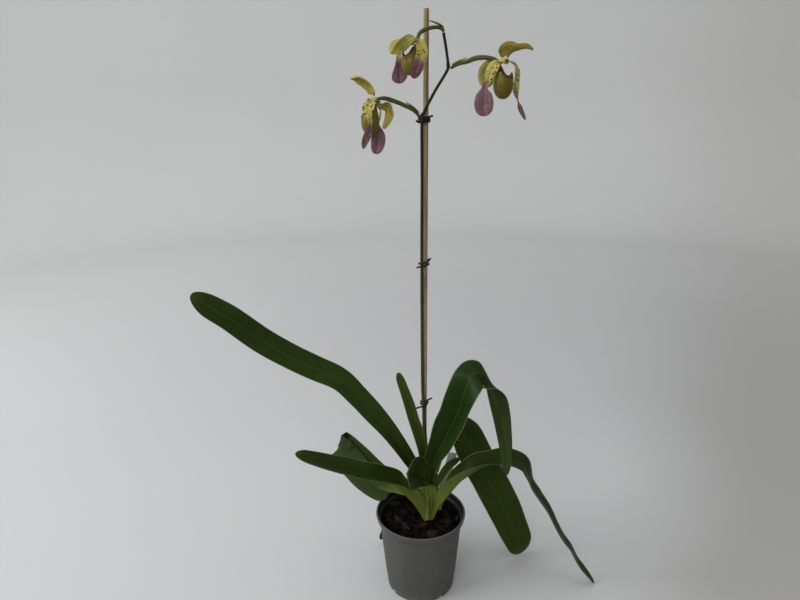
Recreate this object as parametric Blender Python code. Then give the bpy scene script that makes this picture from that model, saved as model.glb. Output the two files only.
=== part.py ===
"""A lady's-slipper orchid in its nursery pot, with three blooms on one stem tied to a stake.

Metres, +Z up, +X to the right of the front view, +Y away from it. The origin is the centre of the
pot's underside. Lists of stations along leaves and petals are in millimetres, as a grower measures.
"""

import math
import random

import bmesh
import bpy
import numpy as np

MM = 0.001
GAP = 0.0003

# Pot
POT_HEIGHT = 0.111
RIM_RADIUS = 0.060
COLLAR_HEIGHT = 0.0085
BODY_TOP_RADIUS = 0.0552
FOOT_STEP_HEIGHT = 0.022
FOOT_STEP = 0.0006
BASE_RADIUS = 0.0453
WALL = 0.0016
FLOOR = 0.0025
POT_SIDES = 48
DRAIN_COUNT = 8
DRAIN_WIDTH = 0.0085
DRAIN_HEIGHT = 0.005
DRAIN_FIRST_ANGLE = math.radians(-101)

# Bark in the pot
BARK_TOP = 0.098
CHIP_COUNT = 46
CHIP_LENGTH = 0.013
CHIP_SEED = 7

# Plant
FOOT = (0.0107, 0.0, 0.0)
FOOT_BOTTOM = 0.082
FOOT_HOLE_RADIUS = 0.0098
LEAF_MID = 1.7
LEAF_MARGIN = 0.9
PETAL_MID = 1.0
PETAL_MARGIN = 0.7
TIP_HALF = 0.7
TIP_RINGS = 4
CROWN_RINGS = 7
BLADE_BEND_SHARE = 22

# Stake
STAKE_RADIUS = 0.0030
STAKE_FOOT = (0.0053, 0.0240, 0.020)
STAKE_TOP = (0.0072, 0.0136, 0.7312)

# Flower stem
STEM_RADIUS = 0.0019
STEM_SIDES = 8
STEM_RINGS = 36
STEM_BEND_SHARE = 150

# Ties
TIE_RADIUS = 0.0006

# Label
LABEL_SIZE = (0.012, 0.0006, 0.110)
LABEL_PLACE = (0.0306, 0.0120, 0.1366)
LABEL_TURN = (0.0, math.radians(14), math.radians(8))


def clear_scene():
    for obj in list(bpy.data.objects):
        bpy.data.objects.remove(obj, do_unlink=True)


def material(name, colour, roughness, metallic=0.0):
    made = bpy.data.materials.new(name)
    made.use_nodes = True
    shader = made.node_tree.nodes["Principled BSDF"]
    shader.inputs["Base Color"].default_value = (*colour, 1.0)
    shader.inputs["Roughness"].default_value = roughness
    shader.inputs["Metallic"].default_value = metallic
    return made


def make_object(name, points, faces, finish, smooth_angle=50):
    mesh = bpy.data.meshes.new(name)
    mesh.from_pydata([tuple(point) for point in points], [], faces)
    mesh.validate()
    work = bmesh.new()
    work.from_mesh(mesh)
    bmesh.ops.recalc_face_normals(work, faces=work.faces)
    if work.calc_volume(signed=True) < 0:
        bmesh.ops.reverse_faces(work, faces=work.faces)
    work.to_mesh(mesh)
    work.free()
    mesh.shade_smooth()
    mesh.set_sharp_from_angle(angle=math.radians(smooth_angle))
    mesh.materials.append(finish)
    obj = bpy.data.objects.new(name, mesh)
    bpy.context.scene.collection.objects.link(obj)
    return obj


def union_into(obj, others, solver="EXACT"):
    """Joins the other objects into obj with one Boolean and removes them."""
    group = bpy.data.collections.new(obj.name + "_pieces")
    for other in others:
        bpy.context.scene.collection.objects.unlink(other)
        group.objects.link(other)
    join = obj.modifiers.new("Join", "BOOLEAN")
    join.operation = "UNION"
    join.operand_type = "COLLECTION"
    join.collection = group
    join.solver = solver
    apply_modifiers(obj)
    for other in others:
        bpy.data.objects.remove(other, do_unlink=True)
    bpy.data.collections.remove(group)
    return obj


def fill_cavities(obj):
    """Makes the object solid where crossing blades have shut a hollow between them."""
    mesh = bmesh.new()
    mesh.from_mesh(obj.data)
    shares = dict.fromkeys(mesh.faces, 0.0)
    for loops in mesh.calc_loop_triangles():
        a, b, c = (loop.vert.co for loop in loops)
        shares[loops[0].face] += a.dot(b.cross(c)) / 6
    seen = set()
    hollow = set()
    for first in mesh.faces:
        if first in seen:
            continue
        seen.add(first)
        shell = [first]
        for face in shell:
            beside = [other for edge in face.edges for other in edge.link_faces if other not in seen]
            shell += dict.fromkeys(beside)
            seen.update(beside)
        if sum(shares[face] for face in shell) < 0:
            hollow.update(vert for face in shell for vert in face.verts)
    bmesh.ops.delete(mesh, geom=list(hollow), context="VERTS")
    mesh.to_mesh(obj.data)
    mesh.free()
    return obj


def apply_modifiers(obj):
    graph = bpy.context.evaluated_depsgraph_get()
    mesh = bpy.data.meshes.new_from_object(obj.evaluated_get(graph))
    obj.modifiers.clear()
    obj.data = mesh


def cut_from(obj, cutters):
    """Cuts each cutter from obj in turn, then removes the cutters."""
    for cutter in cutters:
        cut = obj.modifiers.new("Cut", "BOOLEAN")
        cut.operation = "DIFFERENCE"
        cut.solver = "EXACT"
        cut.object = cutter
        apply_modifiers(obj)
        bpy.data.objects.remove(cutter, do_unlink=True)
    return obj


# Curves through stations


class Line:
    """A smooth line through rows of numbers, whose first three columns are a place in millimetres."""

    def __init__(self, rows, steps=24):
        rows = np.array(rows, float)
        padded = np.vstack([2 * rows[0] - rows[1], rows, 2 * rows[-1] - rows[-2]])
        fine = []
        for i in range(1, len(padded) - 2):
            a, b, c, d = padded[i - 1 : i + 3]
            for t in np.linspace(0, 1, steps, endpoint=False):
                even = 2 * b + (c - a) * t
                bend = (2 * a - 5 * b + 4 * c - d) * t**2 + (3 * b - a - 3 * c + d) * t**3
                fine.append(0.5 * (even + bend))
        fine.append(rows[-1])
        self.rows = np.array(fine)
        self.tangents = np.gradient(self.rows[:, :3], axis=0)
        steps = np.linalg.norm(np.diff(self.rows[:, :3], axis=0), axis=1)
        self.arc = np.concatenate([[0], np.cumsum(steps)])
        self.length = self.arc[-1]

    def read(self, table, places):
        return np.array([np.interp(places, self.arc, column) for column in table.T]).T

    def at(self, places):
        """The rows and unit tangents at these distances along the line."""
        tangents = self.read(self.tangents, places)
        tangents /= np.linalg.norm(tangents, axis=1)[:, None]
        return self.read(self.rows, places), tangents


def places_along(line, start, end, count, bend_share):
    """Places from start to end, closer where the line bends: a radian's turn counts as bend_share mm."""
    _, tangents = line.at(line.arc)
    turns = np.arccos(np.clip(np.sum(tangents[1:] * tangents[:-1], axis=1), -1, 1))
    effort = line.arc + bend_share * np.concatenate([[0], np.cumsum(turns)])
    first, last = np.interp([start, end], line.arc, effort)
    return np.interp(np.linspace(first, last, count), effort, line.arc)


def places_to_tip(line, start, count, tip, tip_rings):
    """Places along a blade, with closer ones at the end that round its tip off."""
    tip_start = line.length - tip
    along = places_along(line, start, tip_start, count, BLADE_BEND_SHARE)
    quarters = np.linspace(0, math.pi / 2, tip_rings + 1)[1:]
    return np.concatenate([along, tip_start + tip * np.sin(quarters)])


# Blades: leaves, sepals and petals


def blade_rings(line, places, tip, mid, margin, across=(-1, -0.5, 0, 0.5, 1)):
    """Upper and lower points of a folded blade, one ring at each place.

    A station is x, y, z, then the direction that the upper face looks in, the half width and the
    fold: how many degrees each half rises from flat.
    """
    rows, tangent = line.at(places)
    side = np.cross(tangent, rows[:, 3:6])
    side /= np.linalg.norm(side, axis=1)[:, None]
    normal = np.cross(side, tangent)
    upper, lower = [], []
    for i, row in enumerate(rows):
        into_tip = max(0.0, (places[i] - line.length + tip) / tip)
        half = row[6] * math.sqrt(max(0.0, 1 - into_tip**2)) + TIP_HALF * into_tip
        fold = math.radians(row[7])
        top_ring, under_ring = [], []
        for a in across:
            out = side[i] * math.cos(fold) * a * half
            rise = normal[i] * math.sin(fold) * abs(a) * half
            skin = normal[i] * math.cos(fold) - side[i] * np.sign(a) * math.sin(fold)
            top = row[:3] + out + rise
            top_ring.append(top)
            under_ring.append(top - skin * (mid + (margin - mid) * abs(a)))
        upper.append(top_ring)
        lower.append(under_ring)
    return np.array(upper) * MM, np.array(lower) * MM


def shell_faces(rings, columns):
    """Triangles of a closed sheet: upper and lower grids split alike, and its four edges."""
    faces = []
    size = rings * columns
    for i in range(rings - 1):
        for j in range(columns - 1):
            a, b = i * columns + j, i * columns + j + 1
            c, d = b + columns, a + columns
            left_half = j < (columns - 1) / 2
            pair = [(a, b, c), (a, c, d)] if left_half else [(a, b, d), (b, c, d)]
            for one in pair:
                faces.append(one)
                faces.append(tuple(size + k for k in reversed(one)))
    edges = []
    for j in (0, columns - 1):
        edges += [(i * columns + j, (i + 1) * columns + j) for i in range(rings - 1)]
    for i in (0, rings - 1):
        edges += [(i * columns + j, i * columns + j + 1) for j in range(columns - 1)]
    for a, b in edges:
        faces.append((a, b, size + b, size + a))
    return faces


def blade(name, line, places, tip, mid, margin, finish):
    upper, lower = blade_rings(line, places, tip, mid, margin)
    points = list(upper.reshape(-1, 3)) + list(lower.reshape(-1, 3))
    return make_object(name, points, shell_faces(*upper.shape[:2]), finish)


# Tubes: stem, ovaries, wires


def tube(name, points, radii, sides, finish):
    """A closed tube through points in metres, its rings carried along without twist."""
    points = np.array(points, float)
    tangents = np.gradient(points, axis=0)
    tangents /= np.linalg.norm(tangents, axis=1)[:, None]
    across = np.cross(tangents[0], (0.3, 0.9, 0.1))
    made, faces = [], []
    for i, point in enumerate(points):
        across = across - tangents[i] * np.dot(across, tangents[i])
        across /= np.linalg.norm(across)
        other = np.cross(tangents[i], across)
        for k in range(sides):
            turn = 2 * math.pi * k / sides
            made.append(point + radii[i] * (across * math.cos(turn) + other * math.sin(turn)))
    for i in range(len(points) - 1):
        for k in range(sides):
            a, b = i * sides + k, i * sides + (k + 1) % sides
            faces.append((a, b, b + sides, a + sides))
    faces.append(tuple(reversed(range(sides))))
    faces.append(tuple(range(len(made) - sides, len(made))))
    return make_object(name, made, faces, finish)


def turned(name, profile, sides, finish):
    """A solid of revolution about Z from (radius, height) points; radius 0 ends it on the axis."""
    made, faces, rings = [], [], []
    for radius, height in profile:
        if radius == 0:
            rings.append([len(made)])
            made.append((0, 0, height))
            continue
        rings.append(list(range(len(made), len(made) + sides)))
        for k in range(sides):
            turn = 2 * math.pi * k / sides
            made.append((radius * math.cos(turn), radius * math.sin(turn), height))
    for low, high in zip(rings, rings[1:]):
        for k in range(sides):
            n = (k + 1) % sides
            if len(low) == 1:
                faces.append((low[0], high[n], high[k]))
            elif len(high) == 1:
                faces.append((low[k], low[n], high[0]))
            else:
                faces.append((low[k], low[n], high[n], high[k]))
    return make_object(name, made, faces, finish, smooth_angle=30)


def block(name, size, place, turn, finish):
    """A box of this size, its middle at place, turned by (x, y, z) angles."""
    mesh = bpy.data.meshes.new(name)
    work = bmesh.new()
    bmesh.ops.create_cube(work, size=1)
    bmesh.ops.scale(work, vec=size, verts=work.verts)
    work.to_mesh(mesh)
    work.free()
    mesh.materials.append(finish)
    obj = bpy.data.objects.new(name, mesh)
    obj.location = place
    obj.rotation_euler = turn
    bpy.context.scene.collection.objects.link(obj)
    bpy.context.view_layer.update()
    return obj


def cutter(obj):
    obj.hide_render = True
    obj.display_type = "WIRE"
    return obj


# Pot and bark


def wall_radius(height):
    """The outside of the pot's wall below its collar."""
    span = POT_HEIGHT - COLLAR_HEIGHT
    lean = BODY_TOP_RADIUS - FOOT_STEP - BASE_RADIUS
    step = FOOT_STEP if height > FOOT_STEP_HEIGHT else 0
    return BASE_RADIUS + lean * height / span + step


def make_pot(finish):
    collar_foot = POT_HEIGHT - COLLAR_HEIGHT
    profile = [
        (0, 0),
        (BASE_RADIUS - 0.0015, 0),
        (wall_radius(0.0015), 0.0015),
        (wall_radius(FOOT_STEP_HEIGHT), FOOT_STEP_HEIGHT),
        (wall_radius(FOOT_STEP_HEIGHT + 0.001), FOOT_STEP_HEIGHT + 0.001),
        (wall_radius(collar_foot), collar_foot),
        (RIM_RADIUS - 0.0014, collar_foot + 0.0006),
        (RIM_RADIUS - 0.0004, POT_HEIGHT - 0.0012),
        (RIM_RADIUS - 0.0010, POT_HEIGHT),
        (RIM_RADIUS - 0.0022, POT_HEIGHT),
        (RIM_RADIUS - 0.0030, collar_foot + 0.0016),
        (wall_radius(collar_foot) - WALL, collar_foot - 0.0006),
        (wall_radius(FLOOR) - WALL, FLOOR),
        (0, FLOOR),
    ]
    pot = turned("pot", profile, POT_SIDES, finish)
    cutters = []
    for k in range(DRAIN_COUNT):
        turn = DRAIN_FIRST_ANGLE + 2 * math.pi * k / DRAIN_COUNT
        place = (BASE_RADIUS * math.cos(turn), BASE_RADIUS * math.sin(turn), 0)
        size = (0.008, DRAIN_WIDTH, 2 * DRAIN_HEIGHT)
        cutters.append(cutter(block("drain_cutter", size, place, (0, 0, turn), finish)))
    return cut_from(pot, cutters)


def make_bark(finish):
    """Chips of bark filling the pot, sunk into one body, with holes for what stands in it."""
    rng = random.Random(CHIP_SEED)
    inner = [
        (0, FLOOR + GAP),
        (wall_radius(FLOOR) - WALL - GAP, FLOOR + GAP),
        (wall_radius(BARK_TOP) - WALL - GAP, BARK_TOP),
        (0, BARK_TOP),
    ]
    bark = turned("bark_mix", inner, POT_SIDES // 2, finish)
    reach = (wall_radius(BARK_TOP) - WALL - GAP) * math.cos(math.pi / (POT_SIDES // 2))
    chips = []
    for k in range(CHIP_COUNT):
        length = CHIP_LENGTH * rng.uniform(0.7, 1.25)
        size = (length, length * rng.uniform(0.45, 0.75), length * rng.uniform(0.35, 0.5))
        away = (reach - length * 0.62) * math.sqrt((k + 0.5) / CHIP_COUNT)
        turn = k * math.radians(137.5)
        place = (away * math.cos(turn), away * math.sin(turn), BARK_TOP + rng.uniform(-0.0012, 0.0016))
        tilt = (rng.uniform(-0.45, 0.45), rng.uniform(-0.45, 0.45), rng.uniform(0, math.pi))
        chips.append(block("chip", size, place, tilt, finish))
    union_into(bark, chips, "MANIFOLD")
    foot_hole = [(0, FOOT_BOTTOM), (FOOT_HOLE_RADIUS, FOOT_BOTTOM), (FOOT_HOLE_RADIUS, 0.13), (0, 0.13)]
    hole = turned("foot_cutter", foot_hole, 24, finish)
    hole.location = FOOT
    low = np.array(STAKE_FOOT) - GAP * stake_direction()
    high = low + 0.11 * stake_direction()
    stake_hole = tube("stake_cutter", [low, (low + high) / 2, high], [STAKE_RADIUS + GAP] * 3, 12, finish)
    slot = [side + 2 * GAP for side in LABEL_SIZE]
    label_slot = block("label_cutter", slot, LABEL_PLACE, LABEL_TURN, finish)
    bpy.context.view_layer.update()
    return cut_from(bark, [cutter(hole), cutter(stake_hole), cutter(label_slot)])


def stake_direction():
    way = np.array(STAKE_TOP) - np.array(STAKE_FOOT)
    return way / np.linalg.norm(way)


def stake_at(height):
    """The middle of the stake at this height."""
    way = stake_direction()
    return np.array(STAKE_FOOT) + way * (height - STAKE_FOOT[2]) / way[2]


def make_stake(finish):
    points = [STAKE_FOOT, stake_at(0.35), STAKE_TOP]
    return tube("stake", points, [STAKE_RADIUS] * 3, 12, finish)


def make_label(finish):
    return block("label", LABEL_SIZE, LABEL_PLACE, LABEL_TURN, finish)


# Leaves

LEAF_START = 96


def leaf_line(leaf):
    """The line along a leaf's midrib, from the foot of the plant."""
    first = leaf["stations"][0]
    foot_x = leaf.get("foot_x", FOOT[0] / MM)
    foot = (foot_x, leaf["foot_y"], LEAF_START, *first[3:6], 6.5, 55)
    return Line([foot, *leaf["stations"]])


# Each leaf: where it parts from the crown (mm along it), the length of its rounded tip, how many
# rings it has, and its stations.
LEAVES = {
    "leaf_long_left": dict(foot_y=-2, parts_at=88, tip=30, rings=17, stations=[
        (11, -5, 150, 0.5, -0.8, 0.3, 8, 45),
        (2, -11, 173, 0.45, -0.8, 0.4, 9, 40),
        (-13, -17, 194, 0.4, -0.8, 0.45, 10, 35),
        (-25, -21, 217, 0.35, -0.8, 0.5, 11, 30),
        (-42, -21, 244, 0.3, -0.8, 0.5, 12.5, 24),
        (-61, -17, 267, 0.25, -0.8, 0.55, 14, 18),
        (-80, -13, 288, 0.25, -0.75, 0.6, 14.5, 14),
        (-100, -10, 308, 0.2, -0.7, 0.65, 15.5, 12),
        (-129, -11, 324, 0.2, -0.78, 0.58, 16, 12),
        (-157, -15, 341, 0.2, -0.8, 0.55, 16, 12),
        (-190, -21, 365, 0.15, -0.8, 0.55, 16, 12),
        (-221, -30, 395, 0.15, -0.8, 0.55, 15.5, 11),
        (-245, -37, 415, 0.15, -0.8, 0.55, 14, 9),
        (-261, -42, 430, 0.15, -0.8, 0.55, 12, 6),
    ]),
    "leaf_upright": dict(foot_y=-1, parts_at=74, tip=16, rings=9, stations=[
        (10, 1, 150, 0, -1, 0.1, 6, 45),
        (8, 2, 171, 0, -1, 0.1, 7, 40),
        (4, 1, 202, 0, -1, 0.1, 8, 30),
        (-2, -1, 227, 0, -1, 0.1, 8, 26),
        (-9, -4, 251, 0, -1, 0.1, 7.5, 22),
        (-15, -7, 275, 0, -1, 0.1, 7, 20),
        (-28, -12, 318, 0, -1, 0.1, 5, 15),
    ]),
    "leaf_arching": dict(foot_y=-2, parts_at=82, tip=20, rings=22, stations=[
        (11, -4, 148, -0.3, -0.95, 0.1, 9, 45),
        (12, -7, 174, -0.4, -0.9, 0.1, 11, 40),
        (18, -8, 197, -0.45, -0.9, 0.1, 13, 32),
        (29, -8, 219, -0.56, -0.8, 0.15, 19, 31),
        (37, -8, 237, -0.6, -0.78, 0.2, 22, 31),
        (45, -8, 254, -0.62, -0.76, 0.2, 23, 31),
        (50, -8, 271, -0.62, -0.76, 0.25, 23, 28),
        (54, -8, 286, -0.58, -0.76, 0.35, 22.5, 20),
        (58, -7, 299, -0.4, -0.7, 0.6, 22, 8),
        (62, -5, 308, -0.1, -0.6, 0.8, 21.5, -6),
        (69, 0, 312, 0.2, -0.6, 0.78, 21, -12),
        (78, 5, 309, 0.42, -0.52, 0.7, 20, -14),
        (87, 9, 300, 0.6, -0.2, 0.65, 19, -12),
        (94, 10, 288, 0.7, 0.35, 0.5, 17.5, -6),
        (99, 8, 273, 0.65, 0.65, 0.3, 16.5, 0),
        (102, 4, 257, 0.6, 0.75, 0.2, 15, 6),
        (105, -2, 239, 0.55, 0.8, 0.1, 12.5, 9),
        (108, -9, 218, 0.5, 0.86, 0.1, 10, 9),
        (109, -15, 199, 0.45, 0.88, 0.1, 7.5, 8),
        (110, -20, 177, 0.45, 0.88, 0.1, 5, 6),
    ]),
    "leaf_broad_right": dict(foot_y=2, parts_at=68, tip=18, rings=18, stations=[
        (14, 5, 139, -0.2, -0.9, 0.3, 7, 40),
        (17, 13, 157, -0.15, -0.85, 0.5, 8, 34),
        (22, 23, 173, -0.1, -0.8, 0.55, 9, 28),
        (29, 34, 191, -0.05, -0.78, 0.6, 10, 20),
        (40, 44, 201, 0, -0.78, 0.62, 14.5, 12),
        (52, 51, 204, 0.1, -0.8, 0.6, 20, 6),
        (64, 55, 192, 0.25, -0.83, 0.5, 24.5, 6),
        (74, 59, 171, 0.33, -0.87, 0.35, 25.5, 8),
        (84, 61, 148, 0.36, -0.88, 0.3, 26, 9),
        (99, 62, 119, 0.36, -0.88, 0.3, 26.5, 9),
        (114, 60, 90, 0.36, -0.88, 0.3, 27, 8),
        (127, 57, 63, 0.36, -0.88, 0.3, 26, 7),
        (139, 53, 36, 0.36, -0.88, 0.3, 24, 6),
        (154, 48, 3, 0.36, -0.88, 0.3, 20, 4),
    ]),
    "leaf_folded_right": dict(foot_x=14.8, foot_y=-3.5, parts_at=70, tip=12, rings=19, stations=[
        (23, -4, 117, -0.4, 0.7, 0.58, 11, 56),
        (31, -6, 131, -0.42, 0.5, 0.7, 14, 55),
        (40, -8, 146, -0.42, 0.28, 0.85, 17, 56),
        (51, -9, 161, -0.4, 0.15, 0.9, 19.5, 53),
        (64, -8, 171, -0.32, 0.06, 0.93, 20.5, 49),
        (78, -4, 178, -0.25, -0.06, 0.95, 20.5, 43),
        (95, 3, 180, -0.1, -0.18, 0.95, 18.5, 33),
        (112, 9, 182, 0, -0.34, 0.92, 16.5, 20),
        (127, 12, 179, 0.25, -0.38, 0.88, 15.5, 10),
        (139, 13, 171, 0.5, -0.36, 0.78, 15.5, 8),
        (146, 12, 156, 0.7, -0.3, 0.6, 15, 8),
        (151, 11, 141, 0.78, -0.22, 0.6, 14.5, 8),
        (162, 8, 124, 0.8, -0.2, 0.6, 14, 9),
        (174, 5, 105, 0.8, -0.18, 0.6, 13.5, 9),
        (192, -2, 70, 0.8, -0.1, 0.6, 12.5, 9),
        (207, -6, 49, 0.8, -0.08, 0.6, 11, 9),
        (219, -10, 27, 0.8, -0.15, 0.6, 9, 9),
        (239, -15, 2, 0.8, -0.2, 0.6, 5, 8),
    ]),
    "leaf_front_left": dict(foot_x=6.0, foot_y=-3.5, parts_at=62, tip=14, rings=11, stations=[
        (-3, -6, 116, 0.45, 0.65, 0.6, 12.5, 54),
        (-10, -10, 130, 0.45, 0.45, 0.75, 16, 54),
        (-18, -15, 144, 0.42, 0.15, 0.88, 17.5, 52),
        (-27, -21, 159, 0.35, -0.1, 0.92, 17.5, 46),
        (-39, -29, 175, 0.3, -0.22, 0.93, 17.5, 40),
        (-86, -47, 201, 0.25, -0.3, 0.93, 17, 32),
        (-131, -64, 229, 0.25, -0.35, 0.9, 11, 24),
        (-150, -70, 241, 0.25, -0.35, 0.9, 7, 20),
    ]),
    "leaf_folded_left": dict(foot_y=2, parts_at=62, tip=14, rings=18, stations=[
        (5, 6, 118, 0.3, -0.6, 0.7, 7, 48),
        (-10, 12, 128, 0.2, -0.65, 0.7, 9, 40),
        (-25, 19, 133, 0.05, -0.72, 0.65, 11, 30),
        (-43, 28, 138, -0.05, -0.78, 0.6, 14, 20),
        (-64, 38, 148, -0.15, -0.84, 0.5, 17, 10),
        (-83, 48, 159, -0.22, -0.86, 0.46, 19.5, 4),
        (-98, 56, 168, -0.25, -0.86, 0.44, 20, 0),
        (-107, 59, 174, 0.1, -0.88, 0.4, 20, 0),
        (-112, 57.5, 178, 0.75, -0.5, -0.2, 20, 0),
        (-110, 53.5, 175, 0.6, 0.6, -0.5, 20, 0),
        (-105, 48.5, 167, 0.4, 0.8, -0.5, 20, 2),
        (-93, 41, 156, 0.3, 0.84, -0.46, 19.5, 6),
        (-78, 32, 142, 0.25, 0.85, -0.45, 18.5, 8),
        (-61, 23, 131, 0.25, 0.85, -0.45, 16, 8),
        (-43, 16, 124, 0.25, 0.85, -0.45, 13, 6),
    ]),
    "leaf_front": dict(foot_y=-0.5, parts_at=82, tip=16, rings=8, stations=[
        (10.5, -6, 130, 0.15, 0.95, 0.2, 12, 26),
        (9, -12, 152, 0.45, 0.75, 0.35, 12, 34),
        (6, -17, 167, 0.85, 0.2, 0.3, 12, 34),
        (1, -26, 181, 0.92, -0.3, 0.12, 15.5, 28),
        (-5, -38, 194, 0.93, -0.35, 0.05, 19, 22),
        (-10, -52, 204, 0.94, -0.33, 0, 21, 18),
        (-14, -66, 211, 0.95, -0.3, 0, 20, 14),
        (-18, -80, 219, 0.95, -0.3, 0, 15, 10),
    ]),
    "leaf_back_left": dict(foot_y=3, parts_at=68, tip=14, rings=11, stations=[
        (5, 8, 134, 0.3, -0.3, 0.9, 7, 45),
        (-6, 18, 133, 0.3, -0.2, 0.93, 9, 35),
        (-16, 32, 130, 0.25, -0.15, 0.95, 10, 25),
        (-25, 47, 122, 0.2, -0.1, 0.97, 9.5, 16),
        (-32, 59, 104, -0.1, 0.2, 0.97, 9, 12),
        (-38, 67, 77, -0.5, 0.75, 0.5, 9, 12),
        (-45, 72, 40, -0.6, 0.75, 0.15, 8, 12),
        (-57, 75, 5, -0.6, 0.75, 0.1, 6, 8),
    ]),
    "leaf_young": dict(foot_y=0, parts_at=64, tip=10, rings=5, stations=[
        (21, 1, 143, -0.5, -0.3, 0.7, 6.5, 50),
        (29, 3, 158, -0.5, -0.5, 0.7, 7, 45),
        (38, 4, 173, -0.5, -0.5, 0.7, 7, 40),
        (53, 5, 187, -0.5, -0.5, 0.7, 4, 35),
    ]),
}


def make_leaf(name, finish):
    leaf = LEAVES[name]
    line = leaf_line(leaf)
    places = places_to_tip(line, leaf["parts_at"], leaf["rings"], leaf["tip"], TIP_RINGS)
    return blade(name, line, places, leaf["tip"], LEAF_MID, LEAF_MARGIN, finish)


def make_crown(finish):
    """The foot of the plant: the clasping bases of its leaves and of the stem, grown together."""
    foot_rings = [(0, FOOT_BOTTOM + GAP), (0.0070, FOOT_BOTTOM + GAP), (0.0076, 0.096)]
    foot_rings += [(0.0070, 0.108), (0.0056, 0.118), (0.0030, 0.128), (0, 0.130)]
    crown = turned("crown", foot_rings, 16, finish)
    crown.location = FOOT
    bpy.context.view_layer.update()
    bases = []
    for name, leaf in LEAVES.items():
        line = leaf_line(leaf)
        end = leaf["parts_at"] - GAP / MM
        places = np.linspace(0, end, CROWN_RINGS)
        bases.append(blade(name + "_base", line, places, leaf["tip"], LEAF_MID, LEAF_MARGIN, finish))
    line = Line(STEM)
    rows, _ = line.at(np.linspace(0, STEM_PARTS_AT - GAP / MM, 4))
    bases.append(tube("stem_base", rows[:, :3] * MM, rows[:, 3] * MM, STEM_SIDES, finish))
    return fill_cavities(union_into(crown, bases))


# Flower stem, ovaries and ties

# Places and radius along the stem, in millimetres
STEM = [
    (11, 1, 112, 3.2),
    (11, 7, 155, 3.0),
    (9.3, 8.5, 185, 2.8),
    (6.6, 10, 215, 2.5),
    (4.4, 13, 262, 2.1),
    (3.1, 14.5, 300, 2.0),
    (2.3, 12.2, 452, 1.9),
    (2.5, 10.8, 550, 1.8),
    (2.4, 10.0, 616, 1.8),
    (4.5, 9.6, 624, 1.8),
    (17, 9.0, 647, 1.6),
    (29.5, 8.2, 667, 1.6),
    (31, 8, 673, 1.6),
    (29, 6.5, 687, 1.5),
    (25.3, 4.5, 706, 1.6),
]
STEM_PARTS_AT = 48


def make_stem(finish):
    line = Line(STEM)
    places = places_along(line, STEM_PARTS_AT, line.length, STEM_RINGS, STEM_BEND_SHARE)
    rows, _ = line.at(places)
    return tube("flower_stem", rows[:, :3] * MM, rows[:, 3] * MM, STEM_SIDES, finish)


def wrapped(height, turns, pitch, first_turn, tails):
    """A wire's path: round the stem and the stake together, with a tail at each end."""
    line = Line(STEM)
    stem_rows = line.rows[np.argsort(line.rows[:, 2])]
    path = []
    for step in np.linspace(0, turns, int(turns * 12) + 1):
        z = height + pitch * step
        stem = np.array([np.interp(z / MM, stem_rows[:, 2], stem_rows[:, k]) for k in (0, 1)]) * MM
        reel = [(stem, STEM_RADIUS + 0.0002), (stake_at(z)[:2], STAKE_RADIUS)]
        angle = first_turn + 2 * math.pi * step
        out = np.array([math.cos(angle), math.sin(angle)])
        middle, radius = max(reel, key=lambda one: np.dot(one[0], out) + one[1])
        spot = middle + out * (radius + TIE_RADIUS + 2 * GAP)
        path.append((spot[0], spot[1], z))
    start = np.array(path[0]) + np.array(tails[0]) * MM
    end = np.array(path[-1]) + np.array(tails[1]) * MM
    return [start, *path, end]


def make_ties(finish):
    ties = {
        "tie_low": wrapped(0.2595, 1.4, 0.0040, math.radians(200), [(-7, -1, -2), (5, -3, 4)]),
        "tie_middle": wrapped(0.446, 1.6, 0.0040, math.radians(190), [(-3, -1, -1), (4, -2, 2)]),
        "tie_high": wrapped(0.6115, 2.6, 0.0030, math.radians(170), [(-4, -2, 3), (5, -2, 1)]),
    }
    for name, path in ties.items():
        tube(name, path, [TIE_RADIUS] * len(path), 5, finish)


# Blooms

COLUMN_RINGS = [(-3.0, 1.4), (-2.4, 2.4), (-1, 2.9), (1.5, 2.9), (3, 2.0), (4.6, 2.0), (6.4, 3.8)]
COLUMN_RINGS += [(7.6, 4.0), (8.4, 2.6)]
ATTACH_RADIUS = 3.6
POUCH_WALL = 0.9
POUCH_SIDES = 16
POUCH_RINGS = 7

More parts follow.
